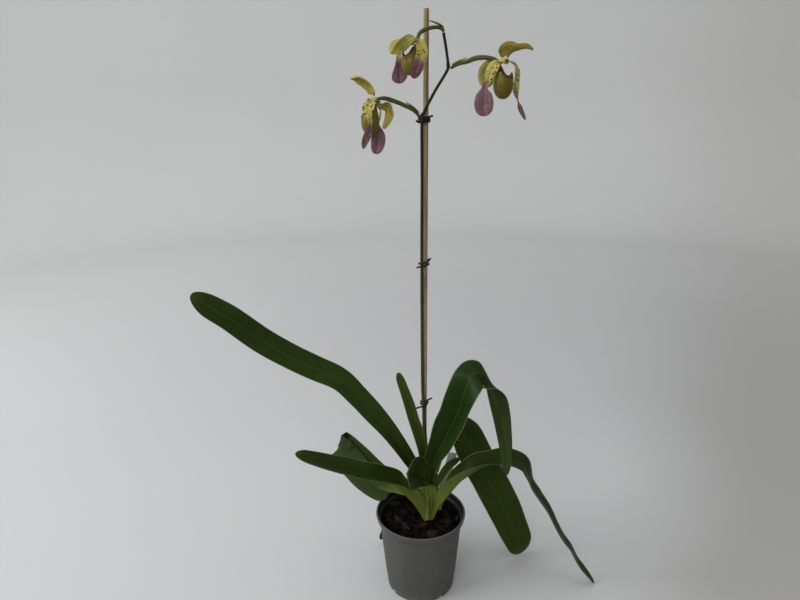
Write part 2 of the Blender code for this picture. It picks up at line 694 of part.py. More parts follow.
# Each bloom: its centre, the way it faces, the stem's point that its ovary leaves, and the ovary's
# and the sepals' and petals' stations. All but the centre are in millimetres from the centre.
BLOOMS = {
    "bloom_left": dict(
        centre=(-0.0497, -0.0100, 0.6380), facing=(-0.95, 0.22, -0.15),
        ovary=[(49.2, 18.8, -17.9, 1.6), (42, 14, -11, 1.9), (32, 10, -6, 2.2), (22, 6, -2, 2.4),
               (12, 2, 1, 2.2)],
        bract=(3, 22, 0.6),
        dorsal=[(-1, 1, 8, -0.75, -0.45, -0.5, 8, 20), (-4, 1, 14, -0.7, -0.5, -0.6, 10, 24),
                (-8, 0, 18.5, -0.5, -0.45, -0.75, 10, 26), (-14, -2, 22, -0.25, -0.4, -0.9, 9, 26),
                (-19, -4, 23, 0, -0.3, -0.95, 7, 26), (-25, -6, 21.5, 0.3, -0.1, -0.95, 3, 22)],
        lower_sepal=[(6, 2, -6, -0.4, -0.75, -0.4, 4, 10), (11, 8, -5.5, -0.5, -0.8, -0.2, 6.5, 12),
                     (15.5, 10, -10, -0.7, -0.7, 0, 6.5, 12), (16, 11, -18, -0.7, -0.7, -0.2, 6.5, 12),
                     (9, 10, -31, -0.8, -0.5, -0.4, 3, 10)],
        near_petal=[(-4, -9, -3, -0.3, -0.6, 0.75, 5, 8), (-7, -13, -10, -0.3, -0.95, 0.2, 6, 8),
                    (-5, -15, -19, -0.2, -1, 0, 3, 8), (-5, -15, -27, 0.5, -0.85, 0, 2.6, 8),
                    (-8, -14, -37, 0.3, -0.95, 0, 4.4, 8), (-11, -13, -44, 0, -1, 0, 3.6, 8),
                    (-13, -12, -51, 0, -1, 0, 1.6, 5)],
        far_petal=[(3, 9, -2.5, -0.5, 0.5, 0.7, 3, 8), (6, 13, -13, -0.8, -0.3, 0.3, 2.6, 8),
                   (3, 14, -22, -0.3, -0.95, 0, 2, 8), (2, 14, -28, 0, -1, 0, 3.2, 8),
                   (3, 13, -38, 0, -1, 0, 7.6, 8), (2, 12, -48, 0, -1, 0, 7.8, 8),
                   (-1, 11, -58, 0, -1, 0, 5, 5)],
        pouch=dict(mouth=(-5.5, 0.5, -4.2), bottom=(-5, 0, -38), half_width=10.5, half_depth=10),
    ),
    "bloom_middle": dict(
        centre=(-0.0064, -0.0180, 0.6957), facing=(-0.55, -0.78, -0.28),
        ovary=[(31.6, 22.4, 10.9, 1.5), (30.6, 21.6, 13.2, 1.7), (25.5, 19, 14.8, 1.8),
               (18, 15, 14, 2.0), (10, 10, 11, 2.1), (5, 6, 7, 1.9)],
        bract=(2.5, 18, 4),
        dorsal=[(-3, -4, 3.5, -0.4, -0.3, -0.85, 5, 20), (-7, -9, 3.5, -0.4, -0.2, -0.85, 9, 34),
                (-13, -14, 0, -0.55, 0, -0.8, 11, 38), (-19, -19, -6, -0.25, 0.5, -0.8, 10, 36),
                (-24, -22, -15, 0.4, 0.7, -0.5, 4.5, 25)],
        lower_sepal=[(3, 5, -7, -0.5, -0.75, 0.4, 5, 10), (7, 11, -13, -0.6, -0.75, 0.1, 7, 14),
                     (7.5, 12, -21, -0.6, -0.78, -0.1, 6.5, 12), (6, 10, -31, -0.55, -0.7, -0.3, 3, 10)],
        near_petal=[(5, -9, -3, -0.3, -0.6, 0.75, 4.6, 8), (7.5, -14, -12, -0.1, -0.95, 0.1, 5.8, 8),
                    (4.5, -16, -21, 0.1, -1, 0, 5.8, 8), (1.5, -16, -29, 0.25, -0.95, 0, 6.2, 8),
                    (-2, -15, -38, 0.3, -0.95, 0, 4.2, 5)],
        far_petal=[(-10, 5, -4, -0.5, -0.2, 0.8, 3.4, 8), (-16, 3, -12, -0.6, -0.8, 0.2, 3, 8),
                   (-16.5, 0, -21, -0.2, -0.98, 0, 3.6, 8), (-16, 2, -28, 0, -1, 0, 6.4, 8),
                   (-16, 2, -36, 0, -1, 0, 8.4, 8), (-15, 2, -42, 0, -1, 0, 6.4, 5)],
        pouch=dict(mouth=(-4.5, -6.5, -5.5), bottom=(-6, -9, -35), half_width=9, half_depth=8.6),
    ),
    "bloom_right": dict(
        centre=(0.0857, -0.0120, 0.6753), facing=(0.58, -0.8, -0.08),
        ovary=[(-52.1, 19.7, -5.1, 1.6), (-44, 18, -1, 2.0), (-35, 16, 1, 2.3), (-26, 12, 4, 2.5),
               (-17, 8.5, 4.5, 2.4), (-8, 6, 3, 2.0)],
        bract=(3, 20, 0.6),
        dorsal=[(0.5, 1, 5.5, 0.5, -0.8, -0.2, 4, 10), (2, 1, 9, 0.35, -0.85, -0.35, 8.5, 6),
                (8, 0, 11.5, 0.15, -0.7, -0.65, 9.5, -6), (17, -1, 11.5, 0, -0.45, -0.9, 7.5, -18),
                (26, -2, 12, -0.2, -0.35, -0.9, 6, -24), (33, -3, 10, -0.4, -0.3, -0.85, 2.5, -15)],
        lower_sepal=[(-6, 9, -2, 0.4, -0.8, 0.4, 6, 8), (-12, 13, -8, 0.45, -0.85, 0.2, 11, 12),
                     (-14.5, 14, -15, 0.45, -0.88, 0, 11.5, 12), (-13, 12, -26, 0.4, -0.85, -0.3, 7, 8)],
        near_petal=[(-7, -6, -3, 0, -0.6, 0.8, 5, 8), (-11, -11, -9, -0.1, -0.95, 0.3, 6, 8),
                    (-15, -13, -18, 0, -1, 0.1, 4.6, 8), (-18.5, -13, -27, 0, -1, 0, 3.2, 8),
                    (-19, -13, -34, 0, -1, 0, 8.4, 8), (-19, -13, -44, 0, -1, 0, 10.4, 8),
                    (-18, -13, -56, 0, -1, 0, 7.4, 5)],
        far_petal=[(10, 8, 0.5, 0.3, -0.3, 0.9, 3.2, 8), (17, 12, -3, 0.6, -0.5, 0.6, 3.8, 8),
                   (20, 13.5, -10, 0.6, -0.8, 0.1, 4, 8), (20, 13, -18, 0.3, -0.95, 0, 3.2, 8),
                   (19, 12.5, -26, 0, -1, 0, 3.8, 8), (19.5, 12, -33, 0.5, -0.87, 0, 3.2, 8),
                   (22, 12, -40, 0.95, -0.3, 0, 2.6, 8), (24, 12, -47, 0.6, -0.8, 0, 3.4, 8),
                   (31, 12, -60, 0.3, -0.95, 0, 1.4, 5)],
        pouch=dict(mouth=(3.2, -5.5, -5.0), bottom=(1.8, -4, -39), half_width=11, half_depth=10),
    ),
}


def unit(vector):
    return np.array(vector, float) / np.linalg.norm(vector)


def make_column(name, centre, facing, finish):
    """The bloom's middle: a short post with the shield in front, which all its pieces hang on."""
    points = [centre + facing * along * MM for along, _ in COLUMN_RINGS]
    return tube(name, points, [radius * MM for _, radius in COLUMN_RINGS], 10, finish)


def bloom_blade(name, bloom, key, rings, tip, finish):
    """A sepal or petal that starts at the column's side, where its stations point to."""
    centre, facing = np.array(bloom["centre"]), unit(bloom["facing"])
    first = np.array(bloom[key][0][:3], float)
    out = unit(first - facing * np.dot(first, facing))
    root = (*(out * ATTACH_RADIUS), *facing, 1.5, 5)
    rows = [(*(np.array(row[:3]) + centre / MM), *row[3:]) for row in [root, *bloom[key]]]
    line = Line(rows)
    places = places_to_tip(line, 0, rings, tip, TIP_RINGS)
    return blade(name, line, places, tip, PETAL_MID, PETAL_MARGIN, finish)


def rim_height(turn):
    """How high the pouch's wall rises at this angle from its front, as a share of its depth."""
    ear = math.exp(-((abs(turn) - 1.25) / 0.50) ** 2)
    claw = math.exp(-((abs(turn) - math.pi) / 0.95) ** 2)
    return 0.60 + 0.20 * ear + 0.40 * claw


def pouch_radius(level):
    """The pouch's girth at this share of its height: round below, drawn in towards the mouth."""
    bowl = 0.42
    if level < bowl:
        return math.sqrt(max(0.0, 1 - (1 - level / bowl) ** 2))
    return 1 - 0.34 * ((level - bowl) / (1 - bowl)) ** 1.5


def make_pouch(name, bloom, finish):
    centre, facing = np.array(bloom["centre"]), unit(bloom["facing"])
    pouch = bloom["pouch"]
    mouth, bottom = (np.array(pouch[key], float) for key in ("mouth", "bottom"))
    up = unit(mouth - bottom)
    depth = unit(facing - up * np.dot(facing, up))
    width = np.cross(up, depth)
    height = np.linalg.norm(mouth - bottom)
    made, faces = [], []
    for inset in (0, POUCH_WALL):
        made.append(bottom + up * inset)
        for ring in range(1, POUCH_RINGS + 1):
            for k in range(POUCH_SIDES):
                turn = 2 * math.pi * k / POUCH_SIDES
                level = rim_height((turn + math.pi) % (2 * math.pi) - math.pi) * ring / POUCH_RINGS
                girth = pouch_radius(level)
                across = width * math.sin(turn) * (pouch["half_width"] - inset) * girth
                out = depth * math.cos(turn) * (pouch["half_depth"] - inset) * girth
                lift = inset * (1 - ring / POUCH_RINGS)
                made.append(bottom + up * (level * height + lift) + across + out)
    skin = len(made) // 2
    for offset in (0, skin):
        for k in range(POUCH_SIDES):
            n = (k + 1) % POUCH_SIDES
            faces.append((offset, offset + 1 + k, offset + 1 + n))
            for ring in range(POUCH_RINGS - 1):
                a, b = offset + 1 + ring * POUCH_SIDES + k, offset + 1 + ring * POUCH_SIDES + n
                faces.append((a, a + POUCH_SIDES, b))
                faces.append((b, a + POUCH_SIDES, b + POUCH_SIDES))
    last = 1 + (POUCH_RINGS - 1) * POUCH_SIDES
    for k in range(POUCH_SIDES):
        a, b = last + k, last + (k + 1) % POUCH_SIDES
        faces.append((a, b, skin + b, skin + a))
    return make_object(name, [centre + point * MM for point in made], faces, finish)


def make_ovary(name, bloom, finish):
    centre, facing = np.array(bloom["centre"]), unit(bloom["facing"])
    end = -facing * (3.15 + GAP / MM)
    line = Line([*bloom["ovary"], (*(end - facing * 2.5), 1.8), (*end, 1.4)])
    rows, _ = line.at([0, *np.linspace(1, line.length - 0.5, 8), line.length])
    return tube(name, centre + rows[:, :3] * MM, rows[:, 3] * MM, 8, finish)


def make_bract(name, bloom, finish):
    """The small leaf at the foot of the ovary, lying over its upper side."""
    centre = np.array(bloom["centre"])
    line = Line(bloom["ovary"])
    start, end, lift = bloom["bract"]
    rows, tangents = line.at(np.linspace(start, end, 6))
    stations = []
    for k, (row, tangent) in enumerate(zip(rows, tangents)):
        up = unit(np.array([0, 0, 1]) - tangent * tangent[2])
        spot = row[:3] + up * (row[3] + 1.5 + lift * k / 5) + centre / MM
        stations.append((*spot, *up, (2.2, 2.9, 3.0, 2.6, 2.0, 1.2)[k], -32))
    blade_line = Line(stations)
    places = places_to_tip(blade_line, 0, 5, 4, 2)
    return blade(name, blade_line, places, 4, 0.8, 0.65, finish)


def make_bloom(name, finishes):
    bloom = BLOOMS[name]
    centre, facing = np.array(bloom["centre"]), unit(bloom["facing"])
    make_ovary(name + "_ovary", bloom, finishes["ovary_green"])
    make_bract(name + "_bract", bloom, finishes["bract_green"])
    make_column(name + "_column", centre, facing, finishes["column_gold"])
    bloom_blade(name + "_dorsal_sepal", bloom, "dorsal", 8, 5, finishes["sepal_green"])
    bloom_blade(name + "_lower_sepal", bloom, "lower_sepal", 7, 5, finishes["sepal_green"])
    bloom_blade(name + "_near_petal", bloom, "near_petal", 10, 7, finishes["petal_purple"])
    bloom_blade(name + "_far_petal", bloom, "far_petal", 10, 7, finishes["petal_purple"])
    make_pouch(name + "_pouch", bloom, finishes["pouch_olive"])


def main():
    clear_scene()
    finishes = {
        name: material(name, colour, roughness)
        for name, colour, roughness in (
            ("pot_taupe", (0.085, 0.080, 0.072), 0.45),
            ("bark_brown", (0.045, 0.024, 0.016), 0.9),
            ("leaf_green", (0.028, 0.070, 0.014), 0.42),
            ("crown_green", (0.12, 0.19, 0.03), 0.5),
            ("stem_dark", (0.022, 0.018, 0.010), 0.5),
            ("ovary_green", (0.06, 0.08, 0.02), 0.5),
            ("bract_green", (0.13, 0.17, 0.03), 0.5),
            ("sepal_green", (0.28, 0.27, 0.07), 0.5),
            ("petal_purple", (0.14, 0.06, 0.09), 0.5),
            ("pouch_olive", (0.15, 0.14, 0.02), 0.4),
            ("column_gold", (0.30, 0.24, 0.06), 0.5),
            ("stake_tan", (0.30, 0.19, 0.11), 0.7),
            ("tie_black", (0.01, 0.01, 0.01), 0.5),
            ("label_grey", (0.45, 0.46, 0.47), 0.5),
        )
    }
    make_pot(finishes["pot_taupe"])
    make_bark(finishes["bark_brown"])
    make_stake(finishes["stake_tan"])
    make_label(finishes["label_grey"])
    make_crown(finishes["crown_green"])
    for name in LEAVES:
        make_leaf(name, finishes["leaf_green"])
    make_stem(finishes["stem_dark"])
    make_ties(finishes["tie_black"])
    for name in BLOOMS:
        make_bloom(name, finishes)


main()
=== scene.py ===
# %% [markdown]
# # A slipper orchid in its nursery pot
# This lesson dresses a measured model of a potted slipper orchid. The measured solids give every
# place and size. Each one that needs a better surface is hidden, and a finer mesh, built from the
# same stations, stands in its place. Read it cell by cell: each step says what the piece is on the
# real plant, how it could be made, and why it was made this way.

import math
import random

import bpy
import numpy as np
from mathutils import Matrix, Vector, noise


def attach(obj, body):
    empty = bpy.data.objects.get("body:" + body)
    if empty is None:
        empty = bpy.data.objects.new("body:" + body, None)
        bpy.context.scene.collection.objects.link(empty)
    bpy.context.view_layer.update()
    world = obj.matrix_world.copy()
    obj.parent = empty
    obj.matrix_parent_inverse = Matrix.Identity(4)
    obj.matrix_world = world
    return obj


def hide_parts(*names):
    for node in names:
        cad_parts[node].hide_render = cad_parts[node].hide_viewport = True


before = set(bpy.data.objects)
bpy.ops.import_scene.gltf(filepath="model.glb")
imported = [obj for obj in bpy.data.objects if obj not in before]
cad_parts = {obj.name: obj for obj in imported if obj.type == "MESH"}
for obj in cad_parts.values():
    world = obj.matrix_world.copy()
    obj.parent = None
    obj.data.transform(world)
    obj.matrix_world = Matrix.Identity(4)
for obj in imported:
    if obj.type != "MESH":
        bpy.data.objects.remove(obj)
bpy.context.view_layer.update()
MM = 0.001

# %% [markdown]
# ## The camera
# The camera stood a little to the left of the pot, less than a metre away. It looked down by some
# seventeen degrees and was tipped by a fraction of a degree. A camera can be aimed with Euler angles
# or with a constraint. Here its three axes are written out as a matrix, because that keeps the small
# tip separate and easy to read.

# %% Camera
IMAGE_WIDTH = 800
FOCAL_PIXELS = 601.0
SENSOR_WIDTH = 36
CAMERA_PLACE = Vector((-0.0246, -0.6955, 0.6180))
LOOK_DOWN = math.radians(16.8)
TIP = math.radians(-0.65)

ahead = Vector((0, math.cos(LOOK_DOWN), -math.sin(LOOK_DOWN)))
level_up = Vector((0, math.sin(LOOK_DOWN), math.cos(LOOK_DOWN)))
right = math.cos(TIP) * Vector((1, 0, 0)) + math.sin(TIP) * level_up
up = math.cos(TIP) * level_up - math.sin(TIP) * Vector((1, 0, 0))

camera_data = bpy.data.cameras.new("camera")
camera_data.sensor_width = SENSOR_WIDTH
camera_data.lens = SENSOR_WIDTH * FOCAL_PIXELS / IMAGE_WIDTH
camera = bpy.data.objects.new("camera", camera_data)
camera.matrix_world = Matrix.Translation(CAMERA_PLACE) @ Matrix((right, up, -ahead)).transposed().to_4x4()
bpy.context.scene.collection.objects.link(camera)
bpy.context.scene.camera = camera
bpy.context.scene.view_settings.view_transform = "Standard"
print("lens in millimetres:", round(camera_data.lens, 2))

# %% [markdown]
# ## Small helpers for meshes
# Every piece below is a list of points and faces turned into an object. Numbers that change over a
# surface, such as how far along a leaf a point lies, are stored on the points as attributes, so that
# a material can read them. Texture coordinates would do too, but an attribute can be named after
# what it means.

# %% Mesh helper


def make_piece(name, points, faces, finish, replaces, marks=None, sharp=40):
    """An object from points in metres, its faces and its named point attributes."""
    mesh = bpy.data.meshes.new(name)
    mesh.from_pydata(np.asarray(points, float).tolist(), [], faces)
    mesh.shade_smooth()
    mesh.set_sharp_from_angle(angle=math.radians(sharp))
    for mark, values in (marks or {}).items():
        layer = mesh.attributes.new(mark, "FLOAT", "POINT")
        layer.data.foreach_set("value", np.asarray(values, np.float32).ravel())
    mesh.materials.append(finish)
    piece = bpy.data.objects.new(name, mesh)
    bpy.context.scene.collection.objects.link(piece)
    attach(piece, "root")
    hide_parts(*replaces)
    print(name, "faces:", len(faces))
    return piece


def joined(parts):
    """Several (points, faces, marks) shapes as one."""
    points, faces, marks = [], [], {key: [] for key in parts[0][2]}
    for some_points, some_faces, some_marks in parts:
        start = sum(len(one) for one in points)
        points.append(np.asarray(some_points, float))
        faces += [tuple(start + corner for corner in face) for face in some_faces]
        for key in marks:
            marks[key].append(np.asarray(some_marks[key], float).ravel())
    return np.vstack(points), faces, {key: np.concatenate(marks[key]) for key in marks}


print("points of two joined triangles:", len(joined([(np.eye(3), [(0, 1, 2)], {})] * 2)[0]))

# %% [markdown]
# ## Small helpers for materials
# A material is a graph of nodes. Written out in full, each node takes four lines, and the idea of
# the finish gets lost. This small class keeps one line for each thing the finish does: a noise, a
# blend of two colours, a bump.

# %% Material helper


class Finish:
    """A material with short ways to add the nodes that colour and shape its surface."""

    def __init__(self, name, **sockets):
        self.material = bpy.data.materials.new(name)
        self.material.use_nodes = True
        self.tree = self.material.node_tree
        self.shader = self.tree.nodes["Principled BSDF"]
        for socket, value in sockets.items():
            self.shader.inputs[socket.replace("_", " ")].default_value = value

    def node(self, kind, inputs, **settings):
        made = self.tree.nodes.new("ShaderNode" + kind)
        for key, value in settings.items():
            setattr(made, key, value)
        for socket, value in inputs.items():
            if isinstance(value, bpy.types.NodeSocket):
                self.tree.links.new(value, made.inputs[socket])
            else:
                made.inputs[socket].default_value = value
        return made

    def mark(self, name):
        """A number that is stored on the mesh under this name."""
        return self.node("Attribute", {}, attribute_name=name).outputs["Fac"]

    def place(self, stretch=(1, 1, 1)):
        spot = self.node("TexCoord", {}).outputs["Object"]
        return self.node("Mapping", {"Vector": spot, "Scale": stretch}).outputs["Vector"]

    def noise(self, vector, scale, detail=3.0, rough=0.5):
        inputs = {"Vector": vector, "Scale": scale, "Detail": detail, "Roughness": rough}
        return self.node("TexNoise", inputs).outputs["Fac"]

    def cells(self, vector, scale):
        return self.node("TexVoronoi", {"Vector": vector, "Scale": scale}).outputs["Distance"]

    def maths(self, operation, first, second=0.0):
        return self.node("Math", {0: first, 1: second}, operation=operation).outputs[0]

    def vector(self, x, y, z=0.0):
        return self.node("CombineXYZ", {0: x, 1: y, 2: z}).outputs[0]

    def between(self, value, low, high, to_low=0.0, to_high=1.0):
        """The value's way from low to high, smoothed and kept inside to_low and to_high."""
        inputs = {"Value": value, "From Min": low, "From Max": high, "To Min": to_low, "To Max": to_high}
        return self.node("MapRange", inputs, interpolation_type="SMOOTHSTEP").outputs["Result"]

    def blend(self, share, first, second):
        """The first colour where the share is 0, and the second where it is 1."""
        mix = self.node("Mix", {0: share}, data_type="RGBA")
        for socket, colour in ((6, first), (7, second)):
            if isinstance(colour, bpy.types.NodeSocket):
                self.tree.links.new(colour, mix.inputs[socket])
            else:
                mix.inputs[socket].default_value = (*colour, 1.0)
        return mix.outputs[2]

    def colour(self, socket):
        self.tree.links.new(socket, self.shader.inputs["Base Color"])

    def roughness(self, value, low, high):
        self.tree.links.new(self.between(value, 0.2, 0.8, low, high), self.shader.inputs["Roughness"])

    def bump(self, height, distance, strength):
        inputs = {"Height": height, "Distance": distance, "Strength": strength}
        self.tree.links.new(self.node("Bump", inputs).outputs["Normal"], self.shader.inputs["Normal"])


print("ways to add a node:", [way for way in vars(Finish) if not way.startswith("_")])

# %% [markdown]
# ## The paper
# The plant stands on a pale surface that runs up into a wall. A flat plane would show its edge against
# the sky, so the floor here is a wide shallow bowl, whose rim is far away on every side. The wall is
# painted lighter than the floor, as painted light, and the paper is painted darker towards the right,
# as painted shade. Lamps alone could lighten the wall and shade its right side, but they would also
# change the light on the plant. So the paper's own tint does it, by two numbers on its points: how far
# out they lie, and how far to the right.

# %% Floor
FLOOR_RADIUS = 2.6
WALL_RADIUS = 3.4
WALL_HEIGHT = 1.7
BEND_STEPS = 12
BOWL_SIDES = 96
# How far before the plant the eye is from which "to the right" of the painted shade is measured
SHADE_EYE = 0.7

sweep = [(0.0, 0.0), (0.8, 0.0), (1.6, 0.0), (FLOOR_RADIUS, 0.0)]
for step in range(1, BEND_STEPS + 1):
    turn = math.pi / 2 * step / BEND_STEPS
    bend = WALL_RADIUS - FLOOR_RADIUS
    sweep.append((FLOOR_RADIUS + bend * math.sin(turn), bend * (1 - math.cos(turn))))
sweep.append((WALL_RADIUS, WALL_HEIGHT))
bowl_points = [(0, 0, 0)]
for radius, height in sweep[1:]:
    for side in range(BOWL_SIDES):
        turn = 2 * math.pi * side / BOWL_SIDES
        bowl_points.append((radius * math.cos(turn), radius * math.sin(turn), height))
bowl_faces = [(0, 1 + side, 1 + (side + 1) % BOWL_SIDES) for side in range(BOWL_SIDES)]
for ring in range(len(sweep) - 2):
    for side in range(BOWL_SIDES):
        here, beside = 1 + ring * BOWL_SIDES + side, 1 + ring * BOWL_SIDES + (side + 1) % BOWL_SIDES
        bowl_faces.append((here, here + BOWL_SIDES, beside + BOWL_SIDES, beside))

paper = Finish("studio_paper", Roughness=0.9)
floor_tint = paper.blend(paper.noise(paper.place(), 3.0), (0.375, 0.375, 0.375), (0.40, 0.40, 0.392))
# The wall's lighter tint is painted light
painted_light_wall_tint = paper.blend(paper.noise(paper.place(), 3.0), (0.595, 0.595, 0.580), (0.625, 0.625, 0.610))
up_the_wall = paper.between(paper.mark("far"), 0.6, 3.0)
sweep_tint = paper.blend(up_the_wall, floor_tint, painted_light_wall_tint)
# Darker towards the right, on floor and wall: painted shade
painted_shade_tint = paper.blend(up_the_wall, (0.215, 0.205, 0.190), (0.480, 0.475, 0.450))
paper.colour(paper.blend(paper.between(paper.mark("right"), 0.28, 0.64, 0.0, 0.6), sweep_tint, painted_shade_tint))
bowl_mesh = bpy.data.meshes.new("studio_floor")
bowl_mesh.from_pydata(bowl_points, [], bowl_faces)
bowl_mesh.shade_smooth()
far_mark = bowl_mesh.attributes.new("far", "FLOAT", "POINT")
far_mark.data.foreach_set("value", [math.hypot(x, y) for x, y, _ in bowl_points])
# How far to the right each point lies, which sets the painted shade
painted_shade_mark = bowl_mesh.attributes.new("right", "FLOAT", "POINT")
painted_shade_mark.data.foreach_set("value", [x / max(y + SHADE_EYE, SHADE_EYE) for x, y, _ in bowl_points])
bowl_mesh.materials.append(paper.material)
studio_floor = bpy.data.objects.new("studio_floor", bowl_mesh)
bpy.context.scene.collection.objects.link(studio_floor)
print("studio rings:", len(sweep))

# %% [markdown]
# ## The lamps
# Daylight comes in from the left through a large window. A window's shadows have soft edges, so each
# lamp here is a broad area light: a strong cool one on the left, a weak warm one on the right, one
# overhead, one behind the camera and one that washes the wall. A dim sky lifts what they all miss. A
# photograph of a room could light the plant too, but lamps can be moved one at a time.

# %% Lamps
# Each lamp's place, what it is aimed at, its two sides, its watts and its colour
LAMPS = {
    "window_left": ((-1.6, -0.4, 1.5), (-0.2, 0.1, 0.2), (1.3, 1.2), 36, (0.94, 0.97, 1.0)),
    "window_right": ((1.9, -0.5, 1.5), (0, 0, 0.2), (1.2, 1.2), 1.5, (1.0, 0.95, 0.88)),
    "ceiling": ((0.0, 0.3, 2.4), (0, 0, 0), (2.0, 2.0), 12, (1.0, 1.0, 0.99)),
    "front": ((-0.5, -1.9, 1.5), (0, 0, 0.45), (1.4, 1.0), 22, (1.0, 0.99, 0.97)),
    "wall_wash": ((-1.2, 0.6, 2.3), (-1.4, 3.2, 0.6), (1.4, 1.0), 16, (0.97, 0.99, 1.0)),
}
SKY_STRENGTH = 0.50

for name, (place, aim, size, watts, colour) in LAMPS.items():
    light = bpy.data.lights.new(name, "AREA")
    light.shape = "RECTANGLE"
    light.size, light.size_y = size
    light.energy = watts
    light.color = colour
    lamp = bpy.data.objects.new(name, light)
    lamp.location = place
    lamp.rotation_euler = (Vector(aim) - Vector(place)).to_track_quat("-Z", "Y").to_euler()
    bpy.context.scene.collection.objects.link(lamp)
sky = bpy.data.worlds.new("sky")
bpy.context.scene.world = sky
sky.use_nodes = True
sky.node_tree.nodes["Background"].inputs["Color"].default_value = (0.93, 0.95, 1.0, 1.0)
sky.node_tree.nodes["Background"].inputs["Strength"].default_value = SKY_STRENGTH
print("lamps:", len(LAMPS))

# %% [markdown]
# ## Lines through stations
# A grower would describe a leaf by laying a tape along its midrib and noting, every few
# centimetres, where it is, which way its upper face looks, how wide it is and how sharply it is
# folded. Those notes are the stations below, in millimetres. A smooth line is drawn through them.
# Bezier curves would need handles as well as places, so a line that passes through every station is
# easier to measure and to correct.

# %% A smooth line through stations


class Course:
    """A smooth line through rows of numbers, whose first three columns are a place in millimetres."""

    def __init__(self, rows, steps=24):
        rows = np.array(rows, float)
        padded = np.vstack([2 * rows[0] - rows[1], rows, 2 * rows[-1] - rows[-2]])
        fine = []
        for i in range(1, len(padded) - 2):
            a, b, c, d = padded[i - 1 : i + 3]
            for t in np.linspace(0, 1, steps, endpoint=False):
                even = 2 * b + (c - a) * t
                bend = (2 * a - 5 * b + 4 * c - d) * t**2 + (3 * b - a - 3 * c + d) * t**3
                fine.append(0.5 * (even + bend))
        fine.append(rows[-1])
        self.rows = np.array(fine)
        self.tangents = np.gradient(self.rows[:, :3], axis=0)
        lengths = np.linalg.norm(np.diff(self.rows[:, :3], axis=0), axis=1)
        self.arc = np.concatenate([[0], np.cumsum(lengths)])
        self.length = self.arc[-1]

    def read(self, table, places):
        return np.array([np.interp(places, self.arc, column) for column in table.T]).T

    def at(self, places):
        """The rows and unit tangents at these distances along the line."""
        tangents = self.read(self.tangents, places)
        tangents /= np.linalg.norm(tangents, axis=1)[:, None]
        return self.read(self.rows, places), tangents


def unit(vector):
    return np.array(vector, float) / np.linalg.norm(vector)


def smooth(value, low, high):
    """0 below low, 1 above high, and a soft step between them."""
    share = np.clip((value - low) / (high - low), 0, 1)
    return share * share * (3 - 2 * share)


print("length of a straight course of 10:", round(Course([(0, 0, 0), (10, 0, 0)]).length, 3))

# %% [markdown]
# ## One skin round many rings
# A leaf, a stem, a flake of bark and the pouch of a bloom all have something in common: cut across,
# each gives a closed ring. So one function lays a skin over a row of rings and closes both ends. It
# also checks, by the sign of the volume, that the faces look outwards.

# %% Skin over rings


def skinned(rings):
    """Points and faces of a closed body through rings of equally many points, in metres."""
    rings = np.asarray(rings, float)
    count, size = rings.shape[:2]
    points = rings.reshape(-1, 3)
    grid = np.arange(count * size).reshape(count, size)
    turned = np.roll(grid, -1, axis=1)
    quads = np.stack([grid[:-1], turned[:-1], turned[1:], grid[1:]], axis=-1).reshape(-1, 4)
    corners = points[quads] - points.mean(axis=0)
    halves = np.cross(corners[:, 0], corners[:, 1]) * corners[:, 2]
    halves += np.cross(corners[:, 0], corners[:, 2]) * corners[:, 3]
    faces = [*quads.tolist(), grid[0][::-1].tolist(), grid[-1].tolist()]
    if halves.sum() < 0:
        faces = [face[::-1] for face in faces]
    return points, faces


def hose_rings(spots, radii, sides):
    """Rings round a line of places, carried along it without twist; radii may differ round a ring."""
    spots = np.asarray(spots, float)
    tangents = np.gradient(spots, axis=0)
    tangents /= np.linalg.norm(tangents, axis=1)[:, None]
    radii = np.broadcast_to(np.asarray(radii, float).reshape(len(spots), -1), (len(spots), sides))
    turns = np.linspace(0, 2 * math.pi, sides, endpoint=False)
    across = np.cross(tangents[0], (0.3, 0.9, 0.1))
    rings = []
    for spot, tangent, radius in zip(spots, tangents, radii):
        across = unit(across - tangent * np.dot(across, tangent))
        other = np.cross(tangent, across)
        reach = across[None] * np.cos(turns)[:, None] + other[None] * np.sin(turns)[:, None]
        rings.append(spot + reach * radius[:, None])
    return np.array(rings)


print("faces of a four-sided rod:", len(skinned(hose_rings([(0, 0, 0), (0, 0, 1)], [0.1, 0.1], 4))[1]))

# %% [markdown]
# ## Blades
# Leaves, sepals and petals are all blades. Cut across, a blade is a shallow V: a groove along the
# midrib, two slightly bulging halves and thin rounded margins. A flat card with a picture of a leaf
# on it would be lighter, but its edge would vanish from the side and it would catch no light along
# the fold. So each blade is a solid with two sides.

# %% Blades
# Shares of the half width: how much of it the rounded margin takes, and where its points lie
MARGIN_SHARE = 0.08
MARGIN_PLACES = [0.955, 0.985, 1.0]
# How softly the two halves meet at the midrib
FOLD_SOFTNESS = 0.04
TIP_HALF = 0.7


def ripples(places, seed, length):
    """A slow random wave along a blade, one for each margin, between -1 and 1."""
    return np.array([
        [noise.noise(Vector((place / length, seed, edge))) for edge in (0.0, 7.3)] for place in places
    ])


